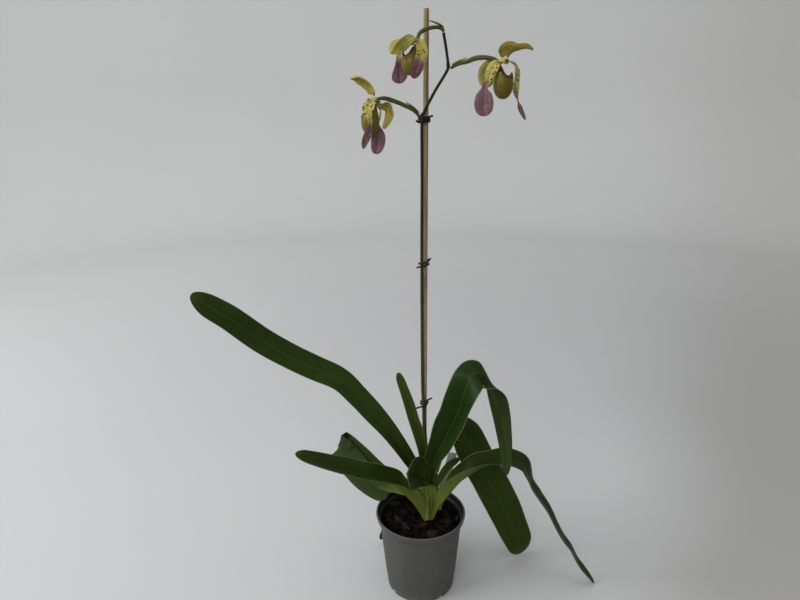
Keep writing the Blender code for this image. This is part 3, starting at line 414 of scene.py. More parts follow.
def blade(course, start, end, tip, middle, margin, seed=0.0, columns=21, step=1.6, wave=0.0, curl=28.0,
          keel=0.5, groove=0.3, bulge=0.03, tone=0.5):
    """Points, faces and marks of a two-sided blade between two places on its midrib."""
    last = min(end, course.length - tip)
    places = np.linspace(start, last, max(3, round((last - start) / step) + 1))
    if end > last:
        places = np.concatenate([places, last + tip * np.sin(np.linspace(0, math.pi / 2, 15)[1:])])
    rows, tangents = course.at(places)
    side = np.cross(tangents, rows[:, 3:6])
    side /= np.linalg.norm(side, axis=1)[:, None]
    normal = np.cross(side, tangents)
    into_tip = np.clip((places - course.length + tip) / tip, 0, 1)
    half = rows[:, 6] * np.sqrt(1 - into_tip**2) + TIP_HALF * into_tip
    fold = np.radians(rows[:, 7])[:, None]
    flat = 1 - MARGIN_SHARE
    inner = np.linspace(-flat, flat, columns)
    a = np.concatenate([-np.array(MARGIN_PLACES)[::-1], inner, MARGIN_PLACES])[None]
    slim = np.clip(half / 5, 0.25, 1)[:, None]
    waves = ripples(places, seed, curl)
    ripple = wave * slim * np.abs(a) ** 2.5 * np.where(a < 0, waves[:, :1], waves[:, 1:])
    rise = np.sqrt(a**2 + FOLD_SOFTNESS**2) - FOLD_SOFTNESS
    lift = np.sin(fold) * rise * half[:, None] + bulge * half[:, None] * np.sin(math.pi * np.abs(a))
    lift = lift + ripple - groove * slim * np.exp(-((a / 0.05) ** 2))
    top = rows[:, None, :3] + side[:, None] * (np.cos(fold) * a * half[:, None])[..., None]
    top = top + normal[:, None] * lift[..., None]
    lean = np.tanh(a / 0.08) * np.sin(fold)
    skin = normal[:, None] * np.cos(fold)[..., None] - side[:, None] * lean[..., None]
    round_off = np.sqrt(np.clip(1 - ((np.abs(a) - flat) / MARGIN_SHARE).clip(0) ** 2, 0, 1))
    thick = (middle + (margin - middle) * np.abs(a) + keel * np.exp(-((a / 0.08) ** 2))) * round_off * slim
    under = top - skin * thick[..., None]
    rings = np.concatenate([top, under[:, -2:0:-1]], axis=1) * MM
    points, faces = skinned(rings)
    ring_across = np.concatenate([a[0], a[0][-2:0:-1]])
    upper = np.concatenate([np.ones(a.size), np.zeros(a.size - 2)])
    reach = np.repeat(places, len(upper))
    marks = {
        "across": np.tile(ring_across, len(places)),
        "along": reach / course.length,
        "reach": reach,
        "upper": np.tile(upper, len(places)),
        "tone": np.full(len(reach), tone),
    }
    return points, faces, marks


trial = Course([(0, 0, 0, 0, -1, 0, 9, 20), (0, 0, 90, 0, -1, 0, 9, 20)])
print("points of a trial blade:", len(blade(trial, 0, trial.length, 12, middle=1.7, margin=0.9)[0]))

# %% [markdown]
# ## The leaf finish
# These leaves are strap-shaped, leathery and dark green with a satin gloss. Fine parallel veins run
# from foot to tip, the margins and the midrib are paler, the foot fades to yellow-green and the
# underside is a dull grey-green. The veins could be modelled, but they are finer than a tenth of a
# millimetre, so they are drawn and embossed by a noise stretched along the leaf.

# %% Leaf finish


def leaf_finish(name):
    leaf = Finish(name, Specular_IOR_Level=0.08)
    across, along, reach = leaf.mark("across"), leaf.mark("along"), leaf.mark("reach")
    tone = leaf.mark("tone")
    width = leaf.maths("ABSOLUTE", across)
    drawn_out = leaf.vector(leaf.maths("MULTIPLY", across, 34.0), leaf.maths("MULTIPLY", reach, 0.022), tone)
    veins = leaf.between(leaf.noise(drawn_out, 1.0, 2.0, 0.6), 0.36, 0.64)
    broad = leaf.vector(leaf.maths("MULTIPLY", across, 5.0), leaf.maths("MULTIPLY", reach, 0.012), tone)
    stripes = leaf.between(leaf.noise(broad, 1.0, 2.0), 0.35, 0.65)
    clouds = leaf.between(leaf.noise(leaf.place(), 26.0, 4.0, 0.6), 0.35, 0.70)
    deep = leaf.blend(tone, (0.0036, 0.0130, 0.0005), (0.028, 0.045, 0.006))
    fresh = leaf.blend(tone, (0.0078, 0.0225, 0.0015), (0.045, 0.068, 0.010))
    green = leaf.blend(leaf.maths("MULTIPLY", veins, 0.55), deep, fresh)
    green = leaf.blend(leaf.maths("MULTIPLY", stripes, 0.35), green, fresh)
    bright = leaf.blend(tone, (0.0110, 0.0275, 0.0025), (0.052, 0.074, 0.014))
    green = leaf.blend(leaf.maths("MULTIPLY", clouds, 0.30), green, bright)
    paling = leaf.between(reach, 18.0, 105.0, 0.92, 0.0)
    green = leaf.blend(paling, green, (0.120, 0.160, 0.016))
    green = leaf.blend(leaf.between(along, 0.955, 1.0, 0.0, 0.45), green, (0.060, 0.065, 0.015))
    rib = leaf.between(width, 0.012, 0.06, 0.38, 0.0)
    green = leaf.blend(rib, green, (0.055, 0.080, 0.018))
    green = leaf.blend(leaf.between(width, 0.93, 0.985, 0.0, 0.75), green, (0.110, 0.140, 0.050))
    under = leaf.blend(veins, (0.018, 0.031, 0.006), (0.031, 0.047, 0.012))
    under_paling = leaf.between(reach, 30.0, 150.0, 0.95, 0.0)
    under = leaf.blend(under_paling, under, (0.135, 0.165, 0.030))
    under = leaf.blend(leaf.between(width, 0.02, 0.09, 0.6, 0.0), under, (0.018, 0.030, 0.006))
    leaf.colour(leaf.blend(leaf.mark("upper"), under, green))
    leaf.roughness(clouds, 0.36, 0.50)
    leaf.bump(leaf.maths("MULTIPLY", veins, 0.6), 0.00012, 0.5)
    return leaf.material


leaf_green = leaf_finish("leaf_green")
crown_green = leaf_finish("crown_green")
print("leaf nodes:", len(leaf_green.node_tree.nodes))

# %% [markdown]
# ## The leaves' stations
# Ten leaves rise from one foot. A station holds the place of the midrib, the direction that the
# upper face looks in, the half width, and the fold: how many degrees each half stands up from flat.
# Each leaf also says where its foot is, how far along it parts from the crown, how long its rounded
# tip is and how light its green is.

# %% Leaf stations
FOOT_X = 10.7
FOOT_HEIGHT = 96
# How light each leaf's green is, from 0 to 1
LEAF_TONES = {
    "leaf_long_left": 0.25,
    "leaf_upright": 0.80,
    "leaf_arching": 0.05,
    "leaf_broad_right": 0.48,
    "leaf_folded_right": 0.22,
    "leaf_front_left": 0.30,
    "leaf_folded_left": 0.26,
    "leaf_front": 0.24,
    "leaf_back_left": 0.45,
    "leaf_young": 0.25,
}
# A station: the midrib's place, the way the upper face looks, the half width and the fold
LEAVES = {
    "leaf_long_left": dict(foot_y=-2, parts_at=88, tip=30, stations=[
        (11, -5, 150, 0.5, -0.8, 0.3, 8, 45),
        (2, -11, 173, 0.45, -0.8, 0.4, 9, 40),
        (-13, -17, 194, 0.4, -0.8, 0.45, 10, 35),
        (-25, -21, 217, 0.35, -0.8, 0.5, 11, 30),
        (-42, -21, 244, 0.3, -0.8, 0.5, 12.5, 24),
        (-61, -17, 267, 0.25, -0.8, 0.55, 14, 18),
        (-80, -13, 288, 0.25, -0.75, 0.6, 14.5, 14),
        (-100, -10, 308, 0.2, -0.7, 0.65, 15.5, 12),
        (-129, -11, 324, 0.2, -0.78, 0.58, 16, 12),
        (-157, -15, 341, 0.2, -0.8, 0.55, 16, 12),
        (-190, -21, 365, 0.15, -0.8, 0.55, 16, 12),
        (-221, -30, 395, 0.15, -0.8, 0.55, 15.5, 11),
        (-245, -37, 415, 0.15, -0.8, 0.55, 14, 9),
        (-261, -42, 430, 0.15, -0.8, 0.55, 12, 6),
    ]),
    "leaf_upright": dict(foot_y=-1, parts_at=74, tip=16, stations=[
        (10, 1, 150, 0, -1, 0.1, 6, 45),
        (8, 2, 171, 0, -1, 0.1, 7, 40),
        (4, 1, 202, 0, -1, 0.1, 8, 30),
        (-2, -1, 227, 0, -1, 0.1, 8, 26),
        (-9, -4, 251, 0, -1, 0.1, 7.5, 22),
        (-15, -7, 275, 0, -1, 0.1, 7, 20),
        (-28, -12, 318, 0, -1, 0.1, 5, 15),
    ]),
    "leaf_arching": dict(foot_y=-2, parts_at=82, tip=20, stations=[
        (11, -4, 148, -0.3, -0.95, 0.1, 9, 45),
        (12, -7, 174, -0.4, -0.9, 0.1, 11, 40),
        (18, -8, 197, -0.45, -0.9, 0.1, 13, 32),
        (29, -8, 219, -0.56, -0.8, 0.15, 19, 31),
        (37, -8, 237, -0.6, -0.78, 0.2, 22, 31),
        (45, -8, 254, -0.62, -0.76, 0.2, 23, 31),
        (50, -8, 271, -0.62, -0.76, 0.25, 23, 28),
        (54, -8, 286, -0.58, -0.76, 0.35, 22.5, 20),
        (58, -7, 299, -0.4, -0.7, 0.6, 22, 8),
        (62, -5, 308, -0.1, -0.6, 0.8, 21.5, -6),
        (69, 0, 312, 0.2, -0.6, 0.78, 21, -12),
        (78, 5, 309, 0.42, -0.52, 0.7, 20, -14),
        (87, 9, 300, 0.6, -0.2, 0.65, 19, -12),
        (94, 10, 288, 0.7, 0.35, 0.5, 17.5, -6),
        (99, 8, 273, 0.65, 0.65, 0.3, 16.5, 0),
        (102, 4, 257, 0.6, 0.75, 0.2, 15, 6),
        (105, -2, 239, 0.55, 0.8, 0.1, 12.5, 9),
        (108, -9, 218, 0.5, 0.86, 0.1, 10, 9),
        (109, -15, 199, 0.45, 0.88, 0.1, 7.5, 8),
        (110, -20, 177, 0.45, 0.88, 0.1, 5, 6),
    ]),
    "leaf_broad_right": dict(foot_y=2, parts_at=68, tip=18, stations=[
        (14, 5, 139, -0.2, -0.9, 0.3, 7, 40),
        (17, 13, 157, -0.15, -0.85, 0.5, 8, 34),
        (22, 23, 173, -0.1, -0.8, 0.55, 9, 28),
        (29, 34, 191, -0.05, -0.78, 0.6, 10, 20),
        (40, 44, 201, 0, -0.78, 0.62, 14.5, 12),
        (52, 51, 204, 0.1, -0.8, 0.6, 20, 6),
        (64, 55, 192, 0.25, -0.83, 0.5, 24.5, 6),
        (74, 59, 171, 0.33, -0.87, 0.35, 25.5, 8),
        (84, 61, 148, 0.36, -0.88, 0.3, 26, 9),
        (99, 62, 119, 0.36, -0.88, 0.3, 26.5, 9),
        (114, 60, 90, 0.36, -0.88, 0.3, 27, 8),
        (127, 57, 63, 0.36, -0.88, 0.3, 26, 7),
        (139, 53, 36, 0.36, -0.88, 0.3, 24, 6),
        (154, 48, 3, 0.36, -0.88, 0.3, 20, 4),
    ]),
    "leaf_folded_right": dict(foot_x=14.8, foot_y=-3.5, parts_at=70, tip=12, stations=[
        (23, -4, 117, -0.4, 0.7, 0.58, 11, 56),
        (31, -6, 131, -0.42, 0.5, 0.7, 14, 55),
        (40, -8, 146, -0.42, 0.28, 0.85, 17, 56),
        (51, -9, 161, -0.4, 0.15, 0.9, 19.5, 53),
        (64, -8, 171, -0.32, 0.06, 0.93, 20.5, 49),
        (78, -4, 178, -0.25, -0.06, 0.95, 20.5, 43),
        (95, 3, 180, -0.1, -0.18, 0.95, 18.5, 33),
        (112, 9, 182, 0, -0.34, 0.92, 16.5, 20),
        (127, 12, 179, 0.25, -0.38, 0.88, 15.5, 10),
        (139, 13, 171, 0.5, -0.36, 0.78, 15.5, 8),
        (146, 12, 156, 0.7, -0.3, 0.6, 15, 8),
        (151, 11, 141, 0.78, -0.22, 0.6, 14.5, 8),
        (162, 8, 124, 0.8, -0.2, 0.6, 14, 9),
        (174, 5, 105, 0.8, -0.18, 0.6, 13.5, 9),
        (192, -2, 70, 0.8, -0.1, 0.6, 12.5, 9),
        (207, -6, 49, 0.8, -0.08, 0.6, 11, 9),
        (219, -10, 27, 0.8, -0.15, 0.6, 9, 9),
        (239, -15, 2, 0.8, -0.2, 0.6, 5, 8),
    ]),
    "leaf_front_left": dict(foot_x=6.0, foot_y=-3.5, parts_at=62, tip=14, stations=[
        (-3, -6, 116, 0.45, 0.65, 0.6, 12.5, 54),
        (-10, -10, 130, 0.45, 0.45, 0.75, 16, 54),
        (-18, -15, 144, 0.42, 0.15, 0.88, 17.5, 52),
        (-27, -21, 159, 0.35, -0.1, 0.92, 17.5, 46),
        (-39, -29, 175, 0.3, -0.22, 0.93, 17.5, 40),
        (-86, -47, 201, 0.25, -0.3, 0.93, 17, 32),
        (-131, -64, 229, 0.25, -0.35, 0.9, 11, 24),
        (-150, -70, 241, 0.25, -0.35, 0.9, 7, 20),
    ]),
    "leaf_folded_left": dict(foot_y=2, parts_at=62, tip=14, stations=[
        (5, 6, 118, 0.3, -0.6, 0.7, 7, 48),
        (-10, 12, 128, 0.2, -0.65, 0.7, 9, 40),
        (-25, 19, 133, 0.05, -0.72, 0.65, 11, 30),
        (-43, 28, 138, -0.05, -0.78, 0.6, 14, 20),
        (-64, 38, 148, -0.15, -0.84, 0.5, 17, 10),
        (-83, 48, 159, -0.22, -0.86, 0.46, 19.5, 4),
        (-98, 56, 168, -0.25, -0.86, 0.44, 20, 0),
        (-107, 59, 174, 0.1, -0.88, 0.4, 20, 0),
        (-112, 57.5, 178, 0.75, -0.5, -0.2, 20, 0),
        (-110, 53.5, 175, 0.6, 0.6, -0.5, 20, 0),
        (-105, 48.5, 167, 0.4, 0.8, -0.5, 20, 2),
        (-93, 41, 156, 0.3, 0.84, -0.46, 19.5, 6),
        (-78, 32, 142, 0.25, 0.85, -0.45, 18.5, 8),
        (-61, 23, 131, 0.25, 0.85, -0.45, 16, 8),
        (-43, 16, 124, 0.25, 0.85, -0.45, 13, 6),
    ]),
    "leaf_front": dict(foot_y=-0.5, parts_at=82, tip=16, stations=[
        (10.5, -6, 130, 0.15, 0.95, 0.2, 12, 26),
        (9, -12, 152, 0.45, 0.75, 0.35, 12, 34),
        (6, -17, 167, 0.85, 0.2, 0.3, 12, 34),
        (1, -26, 181, 0.92, -0.3, 0.12, 15.5, 28),
        (-5, -38, 194, 0.93, -0.35, 0.05, 19, 22),
        (-10, -52, 204, 0.94, -0.33, 0, 21, 18),
        (-14, -66, 211, 0.95, -0.3, 0, 20, 14),
        (-18, -80, 219, 0.95, -0.3, 0, 15, 10),
    ]),
    "leaf_back_left": dict(foot_y=3, parts_at=68, tip=14, stations=[
        (5, 8, 134, 0.3, -0.3, 0.9, 7, 45),
        (-6, 18, 133, 0.3, -0.2, 0.93, 9, 35),
        (-16, 32, 130, 0.25, -0.15, 0.95, 10, 25),
        (-25, 47, 122, 0.2, -0.1, 0.97, 9.5, 16),
        (-32, 59, 104, -0.1, 0.2, 0.97, 9, 12),
        (-38, 67, 77, -0.5, 0.75, 0.5, 9, 12),
        (-45, 72, 40, -0.6, 0.75, 0.15, 8, 12),
        (-57, 75, 5, -0.6, 0.75, 0.1, 6, 8),
    ]),
    "leaf_young": dict(foot_y=0, parts_at=64, tip=10, stations=[
        (21, 1, 143, -0.5, -0.3, 0.7, 6.5, 50),
        (29, 3, 158, -0.5, -0.5, 0.7, 7, 45),
        (38, 4, 173, -0.5, -0.5, 0.7, 7, 40),
        (53, 5, 187, -0.5, -0.5, 0.7, 4, 35),
    ]),
}
print("leaves:", len(LEAVES))

# %% [markdown]
# ## The leaves
# On the plant, a leaf is one strap from the foot to the tip. Here it is cut where it leaves the
# crown, because the measured model treats the clasping bases as one body. Each leaf waves a little
# at its margins. A modifier could make that wave, but then it could not fade towards the midrib.

# %% Leaves
LEAF_MIDDLE = 1.7
LEAF_MARGIN = 0.9
LEAF_WAVE = 1.3
LEAF_SEED = 3.1
FOOT_HALF = 6.5
FOOT_FOLD = 55


def leaf_course(leaf):
    """A leaf's midrib from the shared foot through its stations."""
    first = leaf["stations"][0]
    foot = (leaf.get("foot_x", FOOT_X), leaf["foot_y"], FOOT_HEIGHT, *first[3:6], FOOT_HALF, FOOT_FOLD)
    return Course([foot, *leaf["stations"]])


for number, (name, leaf) in enumerate(LEAVES.items()):
    course = leaf_course(leaf)
    points, faces, marks = blade(
        course, leaf["parts_at"], course.length, leaf["tip"], LEAF_MIDDLE, LEAF_MARGIN,
        seed=LEAF_SEED * number, columns=25, wave=LEAF_WAVE, tone=LEAF_TONES[name],
    )
    make_piece(name + "_strap", points, faces, leaf_green, [name], marks)

# %% [markdown]
# ## The crown
# At the foot, the leaf bases clasp each other in two rows and hold the flower stem. They could be
# merged into one skin, but the dark gaps between the folded bases are what makes a crown look
# grown, so each base stays a blade of its own and they overlap.

# %% Crown
CROWN_GAP = 0.3
FOOT_BOTTOM = 82.3
# The solid foot inside the bases, as radius and height above its bottom
CORE_PROFILE = [(0.3, 0), (6.6, 0), (7.2, 2), (7.6, 13), (7.0, 25), (5.6, 35), (3.0, 45), (0.4, 47)]
CORE_SIDES = 28
CORE_LUMP = 0.06


def turned_rings(profile, centre, sides):
    """Rings of a turned body from (radius, height) pairs, in metres."""
    turns = np.linspace(0, 2 * math.pi, sides, endpoint=False)
    circle = np.stack([np.cos(turns), np.sin(turns), 0 * turns], axis=1)
    return np.array([circle * radius + np.array([*centre, height]) for radius, height in profile])


bases = []
for number, (name, leaf) in enumerate(LEAVES.items()):
    course = leaf_course(leaf)
    bases.append(blade(
        course, 0.0, leaf["parts_at"] - CROWN_GAP, leaf["tip"], LEAF_MIDDLE, LEAF_MARGIN,
        seed=LEAF_SEED * number, columns=21, wave=LEAF_WAVE, tone=LEAF_TONES[name],
    ))
core = [(radius * MM, (FOOT_BOTTOM + height) * MM) for radius, height in CORE_PROFILE]
core_points, core_faces = skinned(turned_rings(core, (FOOT_X * MM, 0), CORE_SIDES))
lumps = [noise.noise(Vector(point) * 180) for point in core_points]
outward = (core_points - [FOOT_X * MM, 0, 0]) * [1, 1, 0]
core_points = core_points + outward * CORE_LUMP * np.array(lumps)[:, None]
size = len(core_points)
core_marks = {
    "across": np.full(size, 0.4),
    "along": np.full(size, 0.03),
    "reach": np.full(size, 30.0),
    "upper": np.zeros(size),
    "tone": np.full(size, 0.5),
}
bases.append((core_points, core_faces, core_marks))
points, faces, marks = joined(bases)
make_piece("crown_leaf_bases", points, faces, crown_green, ["crown"], marks)

# %% [markdown]
# ## The flower stem
# At its foot the stem is nearly as thick as a pencil, and half of that at the blooms. It is nearly
# black, greener low down, and covered in a short velvet of hairs. The hairs could be grown as
# strands, but at this distance they only dull the surface, so a fine bump stands for them.

# %% Stem stations and finish
# A station: the place of the stem's middle, and its radius
STEM = [
    (11, 1, 112, 3.2),
    (11, 7, 155, 3.0),
    (9.3, 8.5, 185, 2.8),
    (6.6, 10, 215, 2.5),
    (4.4, 13, 262, 2.1),
    (3.1, 14.5, 300, 2.0),
    (2.3, 12.2, 452, 1.9),
    (2.5, 10.8, 550, 1.8),
    (2.4, 10.0, 616, 1.8),
    (4.5, 9.6, 624, 1.8),
    (17, 9.0, 647, 1.6),
    (29.5, 8.2, 667, 1.6),
    (31, 8, 673, 1.6),
    (29, 6.5, 687, 1.5),
    (25.3, 4.5, 706, 1.6),
]

stem_dark = Finish("stem_dark", Specular_IOR_Level=0.15)
height_on_stem = stem_dark.mark("along")
flecks = stem_dark.between(stem_dark.noise(stem_dark.place((1, 1, 0.25)), 900.0, 3.0), 0.35, 0.65)
bark_tint = stem_dark.blend(flecks, (0.0075, 0.0058, 0.0042), (0.019, 0.014, 0.008))
green_tint = stem_dark.blend(flecks, (0.022, 0.026, 0.010), (0.055, 0.060, 0.022))
stem_dark.colour(stem_dark.blend(stem_dark.between(height_on_stem, 0.12, 0.75), green_tint, bark_tint))
stem_dark.roughness(flecks, 0.5, 0.68)
stem_dark.bump(stem_dark.noise(stem_dark.place(), 2600.0, 2.0), 0.00015, 0.6)
print("stem stations:", len(STEM))

# %% [markdown]
# ## The skin of the stem
# The stem swells slightly at each of its nodes, and it isn't quite round. A plain tube would look
# like a wire, so the radius of every ring follows the swellings and a slow random wave. Its lowest
# stretch is hidden between the leaf bases and belongs to the crown, as it does in the measured model.

# %% Stem
STEM_PARTS_AT = 48
STEM_NODES = [(31, 8, 673), (6, 10, 232), (2.3, 12, 402)]
NODE_SWELLING = 0.35
NODE_REACH = 3.0
STEM_SIDES = 24
STEM_STEP = 1.2
STEM_UNEVEN = 0.045


def stem_shape(start, end):
    """Points, faces and marks of the stem between two places along it."""
    course = Course(STEM)
    places = np.linspace(start, end, round((end - start) / STEM_STEP) + 1)
    rows, _ = course.at(places)
    radii = rows[:, 3].copy()
    for node in STEM_NODES:
        away = np.linalg.norm(rows[:, :3] - node, axis=1)
        radii += NODE_SWELLING * np.exp(-((away / NODE_REACH) ** 2))
    turns = np.linspace(0, 2 * math.pi, STEM_SIDES, endpoint=False)
    grain = np.array([[noise.noise(Vector((place * 0.12, 1.4 * math.cos(turn), 1.4 * math.sin(turn))))
                       for turn in turns] for place in places])
    rings = hose_rings(rows[:, :3] * MM, radii[:, None] * MM * (1 + STEM_UNEVEN * grain), STEM_SIDES)
    points, faces = skinned(rings)
    return points, faces, {"along": np.repeat(places / course.length, STEM_SIDES)}


stem_length = Course(STEM).length
points, faces, marks = stem_shape(STEM_PARTS_AT, stem_length)
make_piece("stem_skin", points, faces, stem_dark.material, ["flower_stem"], marks)
points, faces, marks = stem_shape(0, STEM_PARTS_AT - CROWN_GAP)
make_piece("stem_foot", points, faces, stem_dark.material, ["crown"], marks)

# %% [markdown]
# ## The stake
# A split bamboo cane holds the stem up. It is tan, paler and greyer where it has been wet, with
# long fibres and a plain sawn top. The fibres are a noise pulled out along the cane, which both
# colours and embosses it.

# %% Cane finish
cane = Finish("cane_tan", Specular_IOR_Level=0.2)
fibres = cane.between(cane.noise(cane.place((1, 1, 0.018)), 1500.0, 4.0, 0.65), 0.30, 0.70)
stains = cane.between(cane.noise(cane.place((1, 1, 0.3)), 60.0, 4.0), 0.40, 0.72)
weathered = cane.blend(fibres, (0.190, 0.130, 0.082), (0.370, 0.280, 0.195))
sound = cane.blend(fibres, (0.150, 0.098, 0.046), (0.290, 0.205, 0.110))
tan = cane.blend(cane.between(cane.mark("along"), 0.30, 0.75), weathered, sound)
cane.colour(cane.blend(cane.maths("MULTIPLY", stains, 0.45), tan, (0.085, 0.055, 0.028)))
cane.roughness(fibres, 0.55, 0.75)
cane.bump(fibres, 0.00015, 0.6)
print("cane nodes:", len(cane.tree.nodes))

# %% [markdown]
# ## The shape of the stake
# The cane is straight and leans a little, with its edges broken at both ends. A cylinder would be
# too even for a cane, so a slow random wave runs along and round it.

# %% Stake
STAKE_RADIUS = 3.0
STAKE_FOOT = np.array([5.3, 24.0, 20.0])
STAKE_TOP = np.array([7.2, 13.6, 731.2])
STAKE_SIDES = 28
STAKE_RINGS = 160
STAKE_UNEVEN = 0.05
END_TRIM = 0.86

steps = np.concatenate([[0, 0.0004], np.linspace(0.002, 0.998, STAKE_RINGS), [0.9994, 1.0]])
trim = np.interp(steps, [0, 0.0006, 0.9992, 1], [END_TRIM, 1, 1, END_TRIM])
spots = STAKE_FOOT + (STAKE_TOP - STAKE_FOOT) * steps[:, None]
cane_turns = np.linspace(0, 2 * math.pi, STAKE_SIDES, endpoint=False)
cane_grain = np.array([[noise.noise(Vector((3 * step, 1.8 * math.cos(turn), 1.8 * math.sin(turn))))
                        for turn in cane_turns] for step in steps])
radii = STAKE_RADIUS * trim[:, None] * (1 + STAKE_UNEVEN * cane_grain)
points, faces = skinned(hose_rings(spots * MM, radii * MM, STAKE_SIDES))
marks = {"along": np.repeat(steps, STAKE_SIDES)}
make_piece("cane", points, faces, cane.material, ["stake"], marks)

# %% [markdown]
# ## The ties
# Three thin black wires hold the stem to the cane. Each winds round both and ends in two loose
# tails. A bevelled curve would do, but the rings used for the stem give the same result and keep
# one way of making round things.

# %% Ties
TIE_RADIUS = 1.1
TIE_GAP = 0.3
STEM_AT_TIES = 2.1
STEPS_PER_TURN = 12
WIRE_STEP = 0.7
WIRE_SIDES = 12
TIES = {
    "tie_low": dict(height=259.5, turns=1.4, pitch=4.0, first=200, tails=[(-7, -1, -2), (5, -3, 4)]),
    "tie_middle": dict(height=446, turns=1.6, pitch=4.0, first=190, tails=[(-3, -1, -1), (4, -2, 2)]),
    "tie_high": dict(height=613.5, turns=3.6, pitch=1.7, first=170, tails=[(-3, -2, 2), (4, -2, 1)]),
}


def tie_path(tie):
    """Places along one wire, as it winds round the stem and the stake, with a tail at each end."""
    rows = Course(STEM).rows
    rows = rows[np.argsort(rows[:, 2])]
    path = []
    for step in np.linspace(0, tie["turns"], int(tie["turns"] * STEPS_PER_TURN) + 1):
        z = tie["height"] + tie["pitch"] * step
        stem = np.array([np.interp(z, rows[:, 2], rows[:, k]) for k in (0, 1)])
        stake = STAKE_FOOT + (STAKE_TOP - STAKE_FOOT) * (z - STAKE_FOOT[2]) / (STAKE_TOP - STAKE_FOOT)[2]
        reel = [(stem, STEM_AT_TIES), (stake[:2], STAKE_RADIUS)]
        angle = math.radians(tie["first"]) + 2 * math.pi * step
        out = np.array([math.cos(angle), math.sin(angle)])
        middle, radius = max(reel, key=lambda one: np.dot(one[0], out) + one[1])
        path.append((*(middle + out * (radius + TIE_RADIUS + TIE_GAP)), z))
    start, end = (np.array(path[i]) + tail for i, tail in zip((0, -1), tie["tails"]))
    return [start, *path, end]


wire_black = Finish("wire_black", Specular_IOR_Level=0.2)
scuffs = wire_black.noise(wire_black.place(), 700.0, 3.0)
wire_black.colour(wire_black.blend(scuffs, (0.003, 0.003, 0.003), (0.012, 0.011, 0.010)))
wire_black.roughness(scuffs, 0.35, 0.55)
for name, tie in TIES.items():
    course = Course(tie_path(tie), steps=6)
    rows, _ = course.at(np.linspace(0, course.length, round(course.length / WIRE_STEP)))
    points, faces = skinned(hose_rings(rows * MM, np.full(len(rows), TIE_RADIUS * MM), WIRE_SIDES))
    make_piece(name + "_wire", points, faces, wire_black.material, [name])

# %% [markdown]
# ## The label
# A thin strip of frosted plastic is pushed into the bark behind the leaves. It has rounded corners
# and lets some light through, so it looks grey-green where the leaves stand behind it.

# %% Label
LABEL_WIDTH = 12.0
LABEL_LENGTH = 110.0
LABEL_CORNER = 2.2
# Through its thickness: how far each outline is drawn in, and where it lies
LABEL_LAYERS = [(0.12, -0.3), (0.0, -0.2), (0.0, 0.2), (0.12, 0.3)]
LABEL_PLACE = Vector((0.0306, 0.0120, 0.1366))
LABEL_TURN = Matrix.Rotation(math.radians(8), 3, "Z") @ Matrix.Rotation(math.radians(14), 3, "Y")

frosted = Finish("frosted_plastic", Roughness=0.5, Transmission_Weight=0.35, IOR=1.3)
haze = frosted.between(frosted.noise(frosted.place(), 120.0, 4.0), 0.3, 0.7)
frosted.colour(frosted.blend(haze, (0.30, 0.32, 0.29), (0.42, 0.44, 0.41)))
frosted.bump(frosted.noise(frosted.place(), 2500.0, 2.0), 0.00008, 0.5)

outline = []
for corner, (sx, sz) in enumerate(((1, 1), (-1, 1), (-1, -1), (1, -1))):
    for turn in np.radians(np.linspace(0, 90, 7) + 90 * corner):
        outline.append((
            sx * (LABEL_WIDTH / 2 - LABEL_CORNER) + LABEL_CORNER * math.cos(turn),
            sz * (LABEL_LENGTH / 2 - LABEL_CORNER) + LABEL_CORNER * math.sin(turn),
        ))
label_rings = []
for shrink, y in LABEL_LAYERS:
    ring = []
    for x, z in outline:
        spot = Vector((x - math.copysign(shrink, x), y, z - math.copysign(shrink, z)))
        ring.append(LABEL_PLACE + LABEL_TURN @ (spot * MM))
    label_rings.append(ring)
points, faces = skinned(label_rings)
make_piece("label_strip", points, faces, frosted.material, ["label"])

# %% [markdown]
# ## The pot
# A nursery pot is moulded in thin matte plastic of a dark grey-brown. Water leaves faint stains on
# it, and dust gathers low down. The stains could be painted, but nobody looks at one of them, so
# they are a cloudy noise that is drawn out downwards, and the dust fades as the wall rises. The inside
# of the wall is painted near black, as painted shade below the rim.

# %% Pot finish
taupe = Finish("pot_taupe", Specular_IOR_Level=0.22)
grime = taupe.between(taupe.noise(taupe.place((1, 1, 0.35)), 22.0, 5.0, 0.62), 0.38, 0.72)
pores = taupe.noise(taupe.place(), 1400.0, 2.0)
shell = taupe.blend(grime, (0.056, 0.057, 0.050), (0.072, 0.072, 0.063))
shell = taupe.blend(taupe.between(pores, 0.45, 0.75, 0.0, 0.25), shell, (0.090, 0.088, 0.078))
low_dust = taupe.between(taupe.mark("height"), 14.0, 0.0, 0.0, 0.35)
outer_wall = taupe.blend(low_dust, shell, (0.110, 0.105, 0.092))
# The inside of the wall is painted near black: painted shade inside the pot
taupe.colour(taupe.blend(taupe.mark("inside"), outer_wall, (0.010, 0.010, 0.009)))
taupe.roughness(grime, 0.48, 0.62)
taupe.bump(pores, 0.00006, 0.6)
print("pot nodes:", len(taupe.tree.nodes))

# %% [markdown]
# ## The body of the pot
# The wall is straight and leans outwards, with a low step near its foot and a collar under a rounded
# lip. Cones could be stacked for that, but they would meet in hard edges. So one outline is drawn,
# up the outside and down the inside, and turned about the axis.

# %% Pot body
POT_HEIGHT = 111.0
RIM_RADIUS = 60.0
COLLAR_HEIGHT = 8.5
BODY_TOP_RADIUS = 55.2
BASE_RADIUS = 45.3
STEP_HEIGHT = 22.0
STEP_OUT = 0.6
WALL = 1.6
POT_FLOOR = 2.5
POT_SIDES = 160
OUTER_HEIGHTS = (2, 6, 12, 18, 21, 21.8, 22.2, 22.6, 23.2, 26, 34, 46, 58, 70, 82, 94)
INNER_HEIGHTS = (94, 70, 46, 24, 21, 4)


